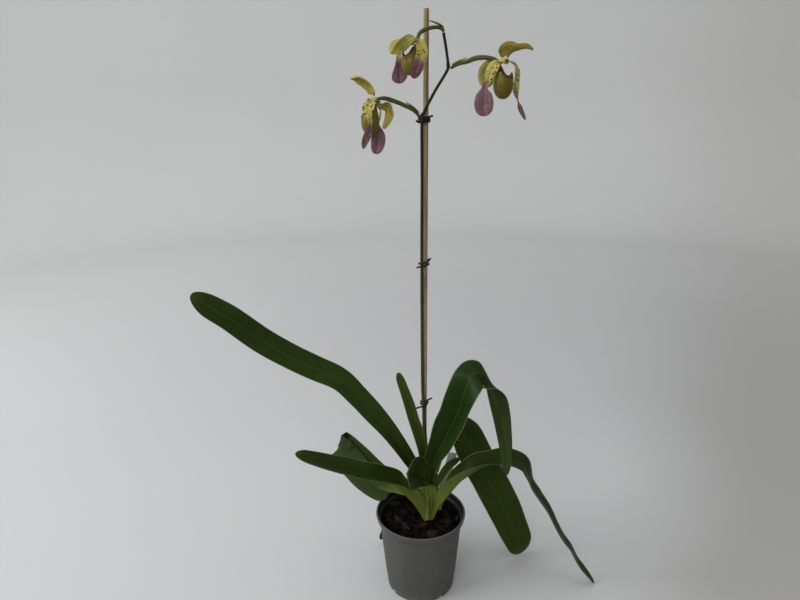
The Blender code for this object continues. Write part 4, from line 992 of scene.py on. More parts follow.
def wall_radius(height):
    """The outside of the pot's wall below its collar."""
    lean = BODY_TOP_RADIUS - STEP_OUT - BASE_RADIUS
    out = STEP_OUT * smooth(height, STEP_HEIGHT - 0.2, STEP_HEIGHT + 1.2)
    return BASE_RADIUS + lean * height / (POT_HEIGHT - COLLAR_HEIGHT) + out


collar_foot = POT_HEIGHT - COLLAR_HEIGHT
under_collar = wall_radius(collar_foot)
profile = [(0.2, 0.0), (40.0, 0.0)]
profile += [(BASE_RADIUS - 1.6, 0.0), (BASE_RADIUS - 0.8, 0.25), (BASE_RADIUS - 0.1, 1.0)]
profile += [(wall_radius(z), z) for z in OUTER_HEIGHTS]
profile += [(under_collar - 0.05, collar_foot - 0.6), (under_collar + 0.3, collar_foot)]
profile += [(58.0, 102.7), (58.4, 103.1), (58.75, 104.0), (58.95, 106.2), (59.05, 107.6), (59.3, 108.1)]
profile += [(59.75, 108.5), (RIM_RADIUS, 109.2), (59.95, 110.1), (59.55, 110.75), (58.9, POT_HEIGHT)]
profile.append((58.1, 110.9))
outside_count = len(profile)
profile += [(57.5, 110.4), (57.2, 109.4), (57.0, 105.0), (56.2, 103.4), (under_collar - WALL, 101.6)]
profile += [(wall_radius(z) - WALL, z) for z in INNER_HEIGHTS]
profile += [(wall_radius(3) - WALL - 1.2, POT_FLOOR), (30.0, POT_FLOOR), (0.2, POT_FLOOR)]
rings = turned_rings([(radius * MM, height * MM) for radius, height in profile], (0, 0), POT_SIDES)
points, faces = skinned(rings)
# Points inside the wall carry the mark for its painted shade
inside = np.repeat(np.arange(len(profile)) >= outside_count, POT_SIDES)
pot_marks = {"height": points[:, 2] / MM, "inside": inside}
pot = make_piece("pot_shell", points, faces, taupe.material, ["pot"], pot_marks, sharp=35)

# %% [markdown]
# ## The drainage notches
# Water runs out through notches round the foot of the wall. They could be left open in the mesh from
# the start, but then the round wall would need a different outline at every notch. A Boolean takes
# them out of the finished wall, much as a tool would stamp them.

# %% Drainage notches
NOTCH_COUNT = 8
NOTCH_FIRST = math.radians(-101)
NOTCH_WIDTH = 8.5
NOTCH_HEIGHT = 5.0
NOTCH_CORNER = 1.2
STAMP_BOTTOM = -3.0
STAMP_REACH = (40.5, 50.0)

arch = [(NOTCH_WIDTH / 2, STAMP_BOTTOM)]
for turn in np.radians(np.linspace(0, 90, 5)):
    side = NOTCH_WIDTH / 2 - NOTCH_CORNER * (1 - math.cos(turn))
    arch.append((side, NOTCH_HEIGHT - NOTCH_CORNER * (1 - math.sin(turn))))
arch += [(-y, z) for y, z in arch[::-1]]
stamps = []
for k in range(NOTCH_COUNT):
    turn = Matrix.Rotation(NOTCH_FIRST + 2 * math.pi * k / NOTCH_COUNT, 3, "Z")
    stamp_rings = [[turn @ (Vector((x, y, z)) * MM) for y, z in arch] for x in STAMP_REACH]
    stamps.append([*skinned(stamp_rings), {}])
points, faces, _ = joined(stamps)
stamp_mesh = bpy.data.meshes.new("notch_stamps")
stamp_mesh.from_pydata(points.tolist(), [], faces)
stamp = bpy.data.objects.new("notch_stamps", stamp_mesh)
bpy.context.scene.collection.objects.link(stamp)
cut = pot.modifiers.new("Notches", "BOOLEAN")
cut.operation = "DIFFERENCE"
cut.object = stamp
cut.solver = "EXACT"
notched = bpy.data.meshes.new_from_object(pot.evaluated_get(bpy.context.evaluated_depsgraph_get()))
pot.modifiers.clear()
pot.data = notched
bpy.data.objects.remove(stamp, do_unlink=True)
print("pot faces after the notches:", len(notched.polygons))

# %% [markdown]
# ## The bark's finish
# Orchids grow in coarse bark. The pieces are nearly black when wet and red-brown where a chip has
# dried or split. Each colour could be a material of its own, but one number on each chip blends the
# two, so that no two chips need be alike.

# %% Bark finish
bark_brown = Finish("bark_brown", Specular_IOR_Level=0.04)
fibrous = bark_brown.noise(bark_brown.place((1, 1, 2.2)), 420.0, 5.0, 0.68)
layers = bark_brown.between(fibrous, 0.35, 0.68)
wet = bark_brown.blend(layers, (0.0008, 0.0006, 0.0005), (0.0035, 0.0022, 0.0016))
dry = bark_brown.blend(layers, (0.0070, 0.0038, 0.0026), (0.032, 0.018, 0.012))
bark_brown.colour(bark_brown.blend(bark_brown.mark("tone"), wet, dry))
bark_brown.roughness(fibrous, 0.62, 0.92)
bark_brown.bump(fibrous, 0.0006, 0.8)
print("bark nodes:", len(bark_brown.tree.nodes))

# %% [markdown]
# ## The bed of bark
# Below the loose chips the pot is filled by one lumpy bed, so that nobody sees down between them.
# Chips could fill the whole pot, but those below the top layer would never show.

# %% Bark bed
BARK_TOP = 98.0
BED_SIDES = 96
BED_TONE = 0.1
LUMP_HEIGHT = 0.0028
bed_profile = [(0.2, POT_FLOOR + 0.3)]
bed_profile += [(wall_radius(z) - WALL - 0.4, z) for z in (5, 20, 24, 50, 75, BARK_TOP - 4)]
bed_profile += [(radius, BARK_TOP - 3.2) for radius in np.linspace(52, 0.3, 27)]
bed_rings = turned_rings([(radius * MM, height * MM) for radius, height in bed_profile], (0, 0), BED_SIDES)
for spot in bed_rings[7:].reshape(-1, 3):
    lump = noise.noise(Vector(spot) * 140) + 0.5 * noise.noise(Vector(spot) * 420)
    spot[2] += LUMP_HEIGHT * lump
bed_points, bed_faces = skinned(bed_rings)
print("bark bed points:", len(bed_points))

# %% [markdown]
# ## The chips
# The chips lie at all angles. Scanned chips or a displaced plane could stand in, but loose chips
# throw real shadows into the gaps. Each chip here is a short stack of one rough outline, turned and
# tilted by seeded random numbers. Steps of the golden angle spread them evenly, as they spread the
# seeds of a sunflower, and a few larger red-brown ones are laid one by one where the plant has them.

# %% Bark chips
CHIP_SEED = 11
CHIP_COUNT = 300
CHIP_REACH = 54.2
CHIP_LIMIT = 54.4
CROWN_CLEARANCE = 8.5
GOLDEN_ANGLE = math.radians(137.508)
# The levels of a chip through its thickness, and how far its outline is drawn in at each
CHIP_LEVELS = [(-1, 0.62), (-0.75, 0.9), (-0.1, 1.0), (0.55, 0.97), (0.9, 0.8), (1.0, 0.5)]
# The larger red-brown pieces: place, length, breadth share, turn in degrees
RED_CHIPS = [
    (13.7, -34.0, 17.0, 0.85, 10),
    (36.0, -12.0, 16.0, 0.7, 60),
    (3.0, -15.0, 14.0, 0.75, 20),
    (27.0, -11.0, 12.0, 0.8, 100),
    (-22.0, -18.0, 22.0, 0.34, 125),
    (-31.0, -4.0, 20.0, 0.3, 110),
    (-35.0, 30.0, 20.0, 0.4, 0),
    (48.0, -3.0, 13.0, 0.6, 80),
]


def chip_shape(length, stretch, rng):
    """One flake of bark about its own middle, in millimetres."""
    corners = rng.randint(7, 11)
    thick = length * rng.uniform(0.20, 0.38)
    turns = [2 * math.pi * (k + rng.uniform(-0.3, 0.3)) / corners for k in range(corners)]
    reach = [rng.uniform(0.75, 1.15) for _ in turns]
    rings = []
    for level, shrink in CHIP_LEVELS:
        rings.append([(
            math.cos(turn) * far * shrink * length / 2 + rng.uniform(-0.35, 0.35),
            math.sin(turn) * far * shrink * stretch * length / 2 + rng.uniform(-0.35, 0.35),
            level * thick / 2 + rng.uniform(-0.25, 0.25),
        ) for turn, far in zip(turns, reach)])
    return skinned(rings)


rng = random.Random(CHIP_SEED)
crown_spot = Vector((FOOT_X, 0))
chips = [(bed_points, bed_faces, {"tone": np.full(len(bed_points), BED_TONE)})]
for k in range(CHIP_COUNT):
    length = rng.uniform(7, 11) if rng.random() < 0.5 else rng.uniform(11, 20)
    away = (CHIP_REACH - length * 0.45) * math.sqrt((k + 0.5) / CHIP_COUNT)
    turn = k * GOLDEN_ANGLE + rng.uniform(-0.1, 0.1)
    spot = Vector((away * math.cos(turn), away * math.sin(turn), 0))
    if (spot.xy - crown_spot).length < CROWN_CLEARANCE:
        continue
    spot.z = BARK_TOP - 2.6 + rng.uniform(0, 3.4) + 2.2 * smooth(away, 40, 54)
    tilt = Matrix.Rotation(rng.uniform(0, math.pi), 3, "Z") @ Matrix.Rotation(rng.gauss(0, 0.42), 3, "X")
    tilt = tilt @ Matrix.Rotation(rng.gauss(0, 0.42), 3, "Y")
    points, faces = chip_shape(length, rng.uniform(0.3, 0.7), rng)
    points = points @ np.array(tilt).T + np.array(spot)
    away_now = np.linalg.norm(points[:, :2], axis=1)
    points[:, :2] *= np.minimum(1, CHIP_LIMIT / np.maximum(away_now, 1))[:, None]
    tone = 0.5 * rng.random() ** 3
    chips.append((points * MM, faces, {"tone": np.full(len(points), tone)}))
for x, y, length, stretch, degrees in RED_CHIPS:
    points, faces = chip_shape(length, stretch, rng)
    tilt = Matrix.Rotation(math.radians(degrees), 3, "Z") @ Matrix.Rotation(rng.gauss(0, 0.15), 3, "X")
    points = points @ np.array(tilt).T + np.array((x, y, BARK_TOP + 1.2))
    chips.append((points * MM, faces, {"tone": np.full(len(points), 1.0)}))
points, faces, marks = joined(chips)
make_piece("bark_chips", points, faces, bark_brown.material, ["bark_mix"], marks, sharp=28)

# %% [markdown]
# ## The blooms' stations
# Each of the three blooms has a hooded dorsal sepal, a lower sepal behind the pouch, two petals that
# hang and twist, a pouch and the shield-shaped middle where they all meet. Every station is measured
# from the bloom's centre, in millimetres. One bloom could be copied three times, but no two petals
# here hang alike, so each has stations of its own.

# %% Bloom stations
# The centre is in metres, and facing is the way the bloom looks. An ovary's station is a place and
# a radius. A bract has its first and last place along the ovary and how far its tip lifts. The
# blades' stations are like those of the leaves.
BLOOMS = {
    "bloom_left": dict(
        centre=(-0.0497, -0.0100, 0.6380), facing=(-0.95, 0.22, -0.15),
        ovary=[(49.2, 18.8, -17.9, 1.6), (42, 14, -11, 1.9), (32, 10, -6, 2.2), (22, 6, -2, 2.4),
               (12, 2, 1, 2.2)],
        bract=(3, 22, 0.6),
        dorsal=[(-1, 1, 8, -0.75, -0.45, -0.5, 8, 20), (-4, 1, 14, -0.7, -0.5, -0.6, 10, 24),
                (-8, 0, 18.5, -0.5, -0.45, -0.75, 10, 26), (-14, -2, 22, -0.25, -0.4, -0.9, 9, 26),
                (-19, -4, 23, 0, -0.3, -0.95, 7, 26), (-25, -6, 21.5, 0.3, -0.1, -0.95, 3, 22)],
        lower_sepal=[(6, 2, -6, -0.4, -0.75, -0.4, 4, 10), (11, 8, -5.5, -0.5, -0.8, -0.2, 6.5, 12),
                     (15.5, 10, -10, -0.7, -0.7, 0, 6.5, 12), (16, 11, -18, -0.7, -0.7, -0.2, 6.5, 12),
                     (9, 10, -31, -0.8, -0.5, -0.4, 3, 10)],
        near_petal=[(-4, -9, -3, -0.3, -0.6, 0.75, 5, 8), (-7, -13, -10, -0.3, -0.95, 0.2, 6, 8),
                    (-5, -15, -19, -0.2, -1, 0, 3, 8), (-5, -15, -27, 0.5, -0.85, 0, 2.6, 8),
                    (-8, -14, -37, 0.3, -0.95, 0, 4.4, 8), (-11, -13, -44, 0, -1, 0, 3.6, 8),
                    (-13, -12, -51, 0, -1, 0, 1.6, 5)],
        far_petal=[(3, 9, -2.5, -0.5, 0.5, 0.7, 3, 8), (6, 13, -13, -0.8, -0.3, 0.3, 2.6, 8),
                   (3, 14, -22, -0.3, -0.95, 0, 2, 8), (2, 14, -28, 0, -1, 0, 3.2, 8),
                   (3, 13, -38, 0, -1, 0, 7.6, 8), (2, 12, -48, 0, -1, 0, 7.8, 8),
                   (-1, 11, -58, 0, -1, 0, 5, 5)],
        pouch=dict(mouth=(-5.5, 0.5, -4.2), bottom=(-5, 0, -38), half_width=10.5, half_depth=10),
    ),
    "bloom_middle": dict(
        centre=(-0.0064, -0.0180, 0.6957), facing=(-0.55, -0.78, -0.28),
        ovary=[(31.6, 22.4, 10.9, 1.5), (30.6, 21.6, 13.2, 1.7), (25.5, 19, 14.8, 1.8),
               (18, 15, 14, 2.0), (10, 10, 11, 2.1), (5, 6, 7, 1.9)],
        bract=(2.5, 18, 4),
        dorsal=[(-3, -4, 3.5, -0.4, -0.3, -0.85, 5, 20), (-7, -9, 3.5, -0.4, -0.2, -0.85, 9, 34),
                (-13, -14, 0, -0.55, 0, -0.8, 11, 38), (-19, -19, -6, -0.25, 0.5, -0.8, 10, 36),
                (-24, -22, -15, 0.4, 0.7, -0.5, 4.5, 25)],
        lower_sepal=[(3, 5, -7, -0.5, -0.75, 0.4, 5, 10), (7, 11, -13, -0.6, -0.75, 0.1, 7, 14),
                     (7.5, 12, -21, -0.6, -0.78, -0.1, 6.5, 12), (6, 10, -31, -0.55, -0.7, -0.3, 3, 10)],
        near_petal=[(5, -9, -3, -0.3, -0.6, 0.75, 4.6, 8), (7.5, -14, -12, -0.1, -0.95, 0.1, 5.8, 8),
                    (4.5, -16, -21, 0.1, -1, 0, 5.8, 8), (1.5, -16, -29, 0.25, -0.95, 0, 6.2, 8),
                    (-2, -15, -38, 0.3, -0.95, 0, 4.2, 5)],
        far_petal=[(-10, 5, -4, -0.5, -0.2, 0.8, 3.4, 8), (-16, 3, -12, -0.6, -0.8, 0.2, 3, 8),
                   (-16.5, 0, -21, -0.2, -0.98, 0, 3.6, 8), (-16, 2, -28, 0, -1, 0, 6.4, 8),
                   (-16, 2, -36, 0, -1, 0, 8.4, 8), (-15, 2, -42, 0, -1, 0, 6.4, 5)],
        pouch=dict(mouth=(-4.5, -6.5, -5.5), bottom=(-6, -9, -35), half_width=9, half_depth=8.6),
    ),
    "bloom_right": dict(
        centre=(0.0857, -0.0120, 0.6753), facing=(0.58, -0.8, -0.08),
        ovary=[(-52.1, 19.7, -5.1, 1.6), (-44, 18, -1, 2.0), (-35, 16, 1, 2.3), (-26, 12, 4, 2.5),
               (-17, 8.5, 4.5, 2.4), (-8, 6, 3, 2.0)],
        bract=(3, 20, 0.6),
        dorsal=[(0.5, 1, 5.5, 0.5, -0.8, -0.2, 4, 10), (2, 1, 9, 0.35, -0.85, -0.35, 8.5, 6),
                (8, 0, 11.5, 0.15, -0.7, -0.65, 9.5, -6), (17, -1, 11.5, 0, -0.45, -0.9, 7.5, -18),
                (26, -2, 12, -0.2, -0.35, -0.9, 6, -24), (33, -3, 10, -0.4, -0.3, -0.85, 2.5, -15)],
        lower_sepal=[(-6, 9, -2, 0.4, -0.8, 0.4, 6, 8), (-12, 13, -8, 0.45, -0.85, 0.2, 11, 12),
                     (-14.5, 14, -15, 0.45, -0.88, 0, 11.5, 12), (-13, 12, -26, 0.4, -0.85, -0.3, 7, 8)],
        near_petal=[(-7, -6, -3, 0, -0.6, 0.8, 5, 8), (-11, -11, -9, -0.1, -0.95, 0.3, 6, 8),
                    (-15, -13, -18, 0, -1, 0.1, 4.6, 8), (-18.5, -13, -27, 0, -1, 0, 3.2, 8),
                    (-19, -13, -34, 0, -1, 0, 8.4, 8), (-19, -13, -44, 0, -1, 0, 10.4, 8),
                    (-18, -13, -56, 0, -1, 0, 7.4, 5)],
        far_petal=[(10, 8, 0.5, 0.3, -0.3, 0.9, 3.2, 8), (17, 12, -3, 0.6, -0.5, 0.6, 3.8, 8),
                   (20, 13.5, -10, 0.6, -0.8, 0.1, 4, 8), (20, 13, -18, 0.3, -0.95, 0, 3.2, 8),
                   (19, 12.5, -26, 0, -1, 0, 3.8, 8), (19.5, 12, -33, 0.5, -0.87, 0, 3.2, 8),
                   (22, 12, -40, 0.95, -0.3, 0, 2.6, 8), (24, 12, -47, 0.6, -0.8, 0, 3.4, 8),
                   (31, 12, -60, 0.3, -0.95, 0, 1.4, 5)],
        pouch=dict(mouth=(3.2, -5.5, -5.0), bottom=(1.8, -4, -39), half_width=11, half_depth=10),
    ),
}
print("blooms:", len(BLOOMS))

# %% [markdown]
# ## Sepal finish
# The sepals are olive to golden-ochre, with green veins that run from the base and a waxy surface
# that lets some light through. A colour per sepal would look flat, so one finish blends from olive
# through ochre to cream by a number stored on the sepal, and darkens along the veins.

# %% Sepal finish
sepal = Finish(
    "sepal_olive", Specular_IOR_Level=0.2, Subsurface_Weight=0.12, Subsurface_Radius=(0.002, 0.002, 0.001),
)
across, reach, tone = sepal.mark("across"), sepal.mark("reach"), sepal.mark("tone")
lanes = sepal.vector(sepal.maths("MULTIPLY", across, 5.2), sepal.maths("MULTIPLY", reach, 0.03), tone)
veins = sepal.between(sepal.noise(lanes, 1.0, 2.0, 0.7), 0.44, 0.60)
mottle = sepal.between(sepal.noise(sepal.place(), 260.0, 4.0, 0.6), 0.35, 0.70)
ochre = sepal.blend(mottle, (0.300, 0.225, 0.026), (0.440, 0.345, 0.075))
olive = sepal.blend(mottle, (0.150, 0.140, 0.014), (0.235, 0.215, 0.035))
cream = sepal.blend(mottle, (0.36, 0.34, 0.085), (0.50, 0.46, 0.18))
blade_tint = sepal.blend(sepal.between(tone, 0.0, 0.5), olive, ochre)
blade_tint = sepal.blend(sepal.between(tone, 0.5, 1.0), blade_tint, cream)
vein_tint = sepal.blend(sepal.between(tone, 0.2, 0.6), (0.105, 0.105, 0.010), (0.170, 0.160, 0.022))
blade_tint = sepal.blend(sepal.maths("MULTIPLY", veins, 0.62), blade_tint, vein_tint)
width = sepal.maths("ABSOLUTE", across)
blade_tint = sepal.blend(sepal.between(width, 0.02, 0.12, 0.5, 0.0), blade_tint, vein_tint)
sepal.colour(sepal.blend(sepal.between(width, 0.90, 1.0, 0.0, 0.45), blade_tint, (0.40, 0.38, 0.17)))
sepal.roughness(mottle, 0.42, 0.58)
sepal.bump(veins, 0.00025, 0.6)
print("sepal nodes:", len(sepal.tree.nodes))

# %% [markdown]
# ## Petal finish
# Towards the middle of the bloom the petals are yellow with maroon-black spots. Further out they
# turn plum purple with darker veins, and the spots fade. How far the purple has come at each point
# is worked out on the mesh, because it starts at a different place on each petal.

# %% Petal finish
petal = Finish(
    "petal_plum", Specular_IOR_Level=0.2, Subsurface_Weight=0.12, Subsurface_Radius=(0.002, 0.001, 0.002),
)
across, reach = petal.mark("across"), petal.mark("reach")
dye, tone = petal.mark("dye"), petal.mark("tone")
lanes = petal.vector(petal.maths("MULTIPLY", across, 6.5), petal.maths("MULTIPLY", reach, 0.06), tone)
veins = petal.between(petal.noise(lanes, 1.0, 2.0, 0.7), 0.42, 0.62)
mottle = petal.between(petal.noise(petal.place(), 330.0, 4.0, 0.6), 0.35, 0.70)
pale_plum = petal.blend(mottle, (0.125, 0.066, 0.070), (0.195, 0.112, 0.120))
dark_plum = petal.blend(mottle, (0.085, 0.034, 0.042), (0.145, 0.070, 0.080))
plum = petal.blend(tone, dark_plum, pale_plum)
plum = petal.blend(petal.maths("MULTIPLY", veins, 0.42), plum, (0.070, 0.026, 0.032))
pale = petal.blend(mottle, (0.290, 0.250, 0.045), (0.420, 0.360, 0.110))
deep = petal.blend(mottle, (0.190, 0.165, 0.016), (0.290, 0.250, 0.040))
lemon = petal.blend(tone, deep, pale)
lemon = petal.blend(petal.maths("MULTIPLY", veins, 0.40), lemon, (0.200, 0.190, 0.026))
spots_at = petal.vector(petal.maths("MULTIPLY", across, 1.15), petal.maths("MULTIPLY", reach, 0.32), tone)
dots = petal.between(petal.cells(spots_at, 1.0), 0.36, 0.24)
spotted = petal.blend(petal.maths("MULTIPLY", dots, petal.mark("spots")), lemon, (0.030, 0.008, 0.010))
edge = petal.between(petal.maths("ABSOLUTE", across), 0.86, 1.0, 0.0, 0.30)
petal.colour(petal.blend(edge, petal.blend(dye, spotted, plum), (0.30, 0.20, 0.17)))
petal.roughness(mottle, 0.42, 0.60)
petal.bump(petal.maths("ADD", veins, dots), 0.0003, 0.6)
print("petal nodes:", len(petal.tree.nodes))

# %% [markdown]
# ## Pouch finish
# The pouch is olive with a soft gloss, a brown net of veins and a browner rim, and its lining is
# darker and blotched. The net could be drawn as lines, but it has no regular mesh, so the steep
# middle of a noise that is drawn out upwards stands for it.

# %% Pouch finish
pouch_olive = Finish(
    "pouch_olive", Specular_IOR_Level=0.15, Coat_Weight=0.05, Coat_Roughness=0.25,
    Subsurface_Weight=0.08, Subsurface_Radius=(0.002, 0.002, 0.001),
)
level, inside, tone = pouch_olive.mark("level"), pouch_olive.mark("inside"), pouch_olive.mark("tone")
netting = pouch_olive.place((1, 1, 0.38))
warped = pouch_olive.noise(netting, 300.0, 3.0, 0.6)
net = pouch_olive.between(warped, 0.47, 0.56)
cast = pouch_olive.noise(pouch_olive.place(), 70.0, 3.0)
olive = pouch_olive.blend(cast, (0.062, 0.050, 0.003), (0.115, 0.092, 0.008))
ochre = pouch_olive.blend(cast, (0.100, 0.072, 0.005), (0.165, 0.125, 0.014))
skin_tint = pouch_olive.blend(tone, olive, ochre)
skin_tint = pouch_olive.blend(pouch_olive.maths("MULTIPLY", net, 0.42), skin_tint, (0.070, 0.042, 0.010))
near_rim = pouch_olive.between(level, 0.88, 1.0, 0.0, 0.6)
skin_tint = pouch_olive.blend(near_rim, skin_tint, (0.110, 0.075, 0.014))
lining = pouch_olive.blend(net, (0.115, 0.075, 0.022), (0.045, 0.022, 0.010))
pouch_olive.colour(pouch_olive.blend(inside, skin_tint, lining))
pouch_olive.roughness(cast, 0.30, 0.45)
pouch_olive.bump(warped, 0.0003, 0.5)
print("pouch nodes:", len(pouch_olive.tree.nodes))

# %% [markdown]
# ## Middle, ovary and bract finishes
# The shield in the middle is yellow-green with a dark centre. The ovaries are dark, their grooves
# between the ribs are painted darker as painted shade, and each has a green bract with fine veins. They
# could share the sepals' finish, but each has a gloss and a grain of its own.

# %% Middle, ovary and bract finishes
shield = Finish(
    "shield_gold", Specular_IOR_Level=0.5, Subsurface_Weight=0.1, Subsurface_Radius=(0.001, 0.001, 0.001),
)
grain = shield.between(shield.noise(shield.place(), 700.0, 3.0), 0.3, 0.7)
gold = shield.blend(grain, (0.210, 0.200, 0.030), (0.340, 0.320, 0.080))
shield.colour(shield.blend(shield.mark("heart"), gold, (0.050, 0.028, 0.008)))
shield.roughness(grain, 0.35, 0.5)
shield.bump(grain, 0.0002, 0.6)

ovary_dark = Finish("ovary_dark", Specular_IOR_Level=0.2)
fuzz = ovary_dark.between(ovary_dark.noise(ovary_dark.place(), 1100.0, 3.0), 0.3, 0.7)
painted_groove_shade = ovary_dark.mark("rib")
rib_tint = ovary_dark.blend(fuzz, (0.038, 0.044, 0.008), (0.092, 0.097, 0.018))
# The grooves between the ribs are painted darker: painted shade
ovary_dark.colour(ovary_dark.blend(painted_groove_shade, rib_tint, (0.018, 0.016, 0.007)))
ovary_dark.roughness(fuzz, 0.5, 0.7)
ovary_dark.bump(fuzz, 0.0002, 0.6)

bract_green = Finish(
    "bract_green", Specular_IOR_Level=0.2, Subsurface_Weight=0.1, Subsurface_Radius=(0.002, 0.002, 0.001),
)
across, reach = bract_green.mark("across"), bract_green.mark("reach")
lanes_across = bract_green.maths("MULTIPLY", across, 7.0)
lanes = bract_green.vector(lanes_across, bract_green.maths("MULTIPLY", reach, 0.05))
veins = bract_green.between(bract_green.noise(lanes, 1.0, 2.0), 0.40, 0.60)
bract_green.colour(bract_green.blend(veins, (0.190, 0.200, 0.030), (0.110, 0.120, 0.018)))
bract_green.roughness(veins, 0.45, 0.55)
bract_green.bump(veins, 0.0002, 0.6)
print("bloom finishes ready")

# %% [markdown]
# ## Sepals and petals
# Each starts at the side of the bloom's middle, as a narrow claw, and follows its stations. The
# margins ripple in shorter waves than those of a leaf. They could be cut from flat sheets and bent,
# but the blades made for the leaves already fold and twist, so they serve here too.

# %% Blades of a bloom
PETAL_MIDDLE = 1.0
PETAL_MARGIN = 0.7
ATTACH_RADIUS = 3.6
CLAW_HALF = 1.5
CLAW_FOLD = 5
# Each blade's name, its kind, the length of its tip, the height of its waves and its finish
BLOOM_PARTS = {
    "dorsal": ("dorsal_sepal", "sepal", 5, 0.9, sepal.material),
    "lower_sepal": ("lower_sepal", "sepal", 5, 0.6, sepal.material),
    "near_petal": ("near_petal", "petal", 7, 0.9, petal.material),
    "far_petal": ("far_petal", "petal", 7, 0.9, petal.material),
}
# How golden each sepal is: 0 olive, 0.5 ochre, 1 cream
SEPAL_TONES = {
    ("bloom_left", "dorsal"): 0.50,
    ("bloom_left", "lower_sepal"): 0.62,
    ("bloom_middle", "dorsal"): 0.15,
    ("bloom_middle", "lower_sepal"): 0.35,
    ("bloom_right", "dorsal"): 0.30,
    ("bloom_right", "lower_sepal"): 0.85,
}
# How pale the purple of each bloom is
PLUM_TONES = {"bloom_left": 0.60, "bloom_middle": 0.10, "bloom_right": 0.95}
# How far along each petal the purple starts and is full
DYE_SPANS = {
    ("bloom_left", "near_petal"): (0.42, 0.62),
    ("bloom_left", "far_petal"): (0.30, 0.50),
    ("bloom_middle", "near_petal"): (0.50, 0.66),
    ("bloom_middle", "far_petal"): (0.42, 0.58),
    ("bloom_right", "near_petal"): (0.38, 0.56),
    ("bloom_right", "far_petal"): (0.52, 0.72),
}


def bloom_course(bloom, key):
    """The midrib of one sepal or petal, from the side of the bloom's middle to the tip."""
    centre, facing = np.array(bloom["centre"]) / MM, unit(bloom["facing"])
    first = np.array(bloom[key][0][:3], float)
    out = unit(first - facing * np.dot(first, facing))
    root = (*(out * ATTACH_RADIUS), *facing, CLAW_HALF, CLAW_FOLD)
    return Course([(*(np.array(row[:3]) + centre), *row[3:]) for row in [root, *bloom[key]]])


for number, (name, bloom) in enumerate(BLOOMS.items()):
    for order, (key, (part, kind, tip, wave, finish)) in enumerate(BLOOM_PARTS.items()):
        course = bloom_course(bloom, key)
        points, faces, marks = blade(
            course, 0.0, course.length, tip, PETAL_MIDDLE, PETAL_MARGIN, seed=5.7 * number + 2.3 * order,
            columns=25, step=0.7, wave=wave, curl=7.0, keel=0.35, groove=0.2, bulge=0.05,
            tone=SEPAL_TONES.get((name, key), PLUM_TONES[name]),
        )
        if (name, key) in DYE_SPANS:
            low, high = DYE_SPANS[name, key]
            marks["dye"] = smooth(marks["along"], low, high)
            fading = 1 - smooth(marks["along"], high - 0.08, high + 0.06)
            marks["spots"] = smooth(marks["along"], 0.03, 0.10) * fading
        make_piece(f"{name}_{part}_blade", points, faces, finish, [f"{name}_{part}"], marks)

# %% [markdown]
# ## Pouches
# The pouch is a petal grown into a slipper: round below, drawn in towards the mouth, with two ears
# at the sides and a claw behind that reaches up to the middle of the bloom. It could be sculpted,
# but two small rules give the same shape: how high the wall rises at each angle, and how wide it is
# at each height. The wall has a thickness and a rolled rim, since one looks into it.

# %% Pouch rules
BOWL_SHARE = 0.42
MOUTH_DRAWN_IN = 0.34


def rim_height(turn):
    """How high the pouch's wall rises at this angle from its front, as a share of its depth."""
    ear = math.exp(-((abs(turn) - 1.25) / 0.50) ** 2)
    claw = math.exp(-((abs(turn) - math.pi) / 0.95) ** 2)
    return 0.60 + 0.20 * ear + 0.40 * claw


def pouch_girth(level):
    """The pouch's girth at this share of its height: round below, drawn in towards the mouth."""
    if level < BOWL_SHARE:
        return math.sqrt(max(0.0, 1 - (1 - level / BOWL_SHARE) ** 2))
    return 1 - MOUTH_DRAWN_IN * ((level - BOWL_SHARE) / (1 - BOWL_SHARE)) ** 1.5


print("rim at the front, an ear and the claw:", [round(rim_height(turn), 2) for turn in (0, 1.25, math.pi)])

# %% [markdown]
# ## The skin of the pouch
# The rings climb the outside, roll over the rim and go down the inside. A Solidify modifier could
# give a flat sheet its thickness, but the rings can also round the rim and mark the lining, which
# has a finish of its own.

# %% Pouches
POUCH_WALL = 0.9
POUCH_SIDES = 80
POUCH_RINGS = 44
RIM_ROLL = 0.5
# Over the rim: shares of the wall's thickness and of the roll
RIM_LAYERS = [(0.25, 0.8), (0.5, 1.0), (0.8, 0.7)]
RIM_FLARE = 0.5
POUCH_CREASE = 0.25
# How ochre each pouch is, and the seed of its creases
POUCH_TONES = {"bloom_left": 0.55, "bloom_middle": 0.35, "bloom_right": 0.15}


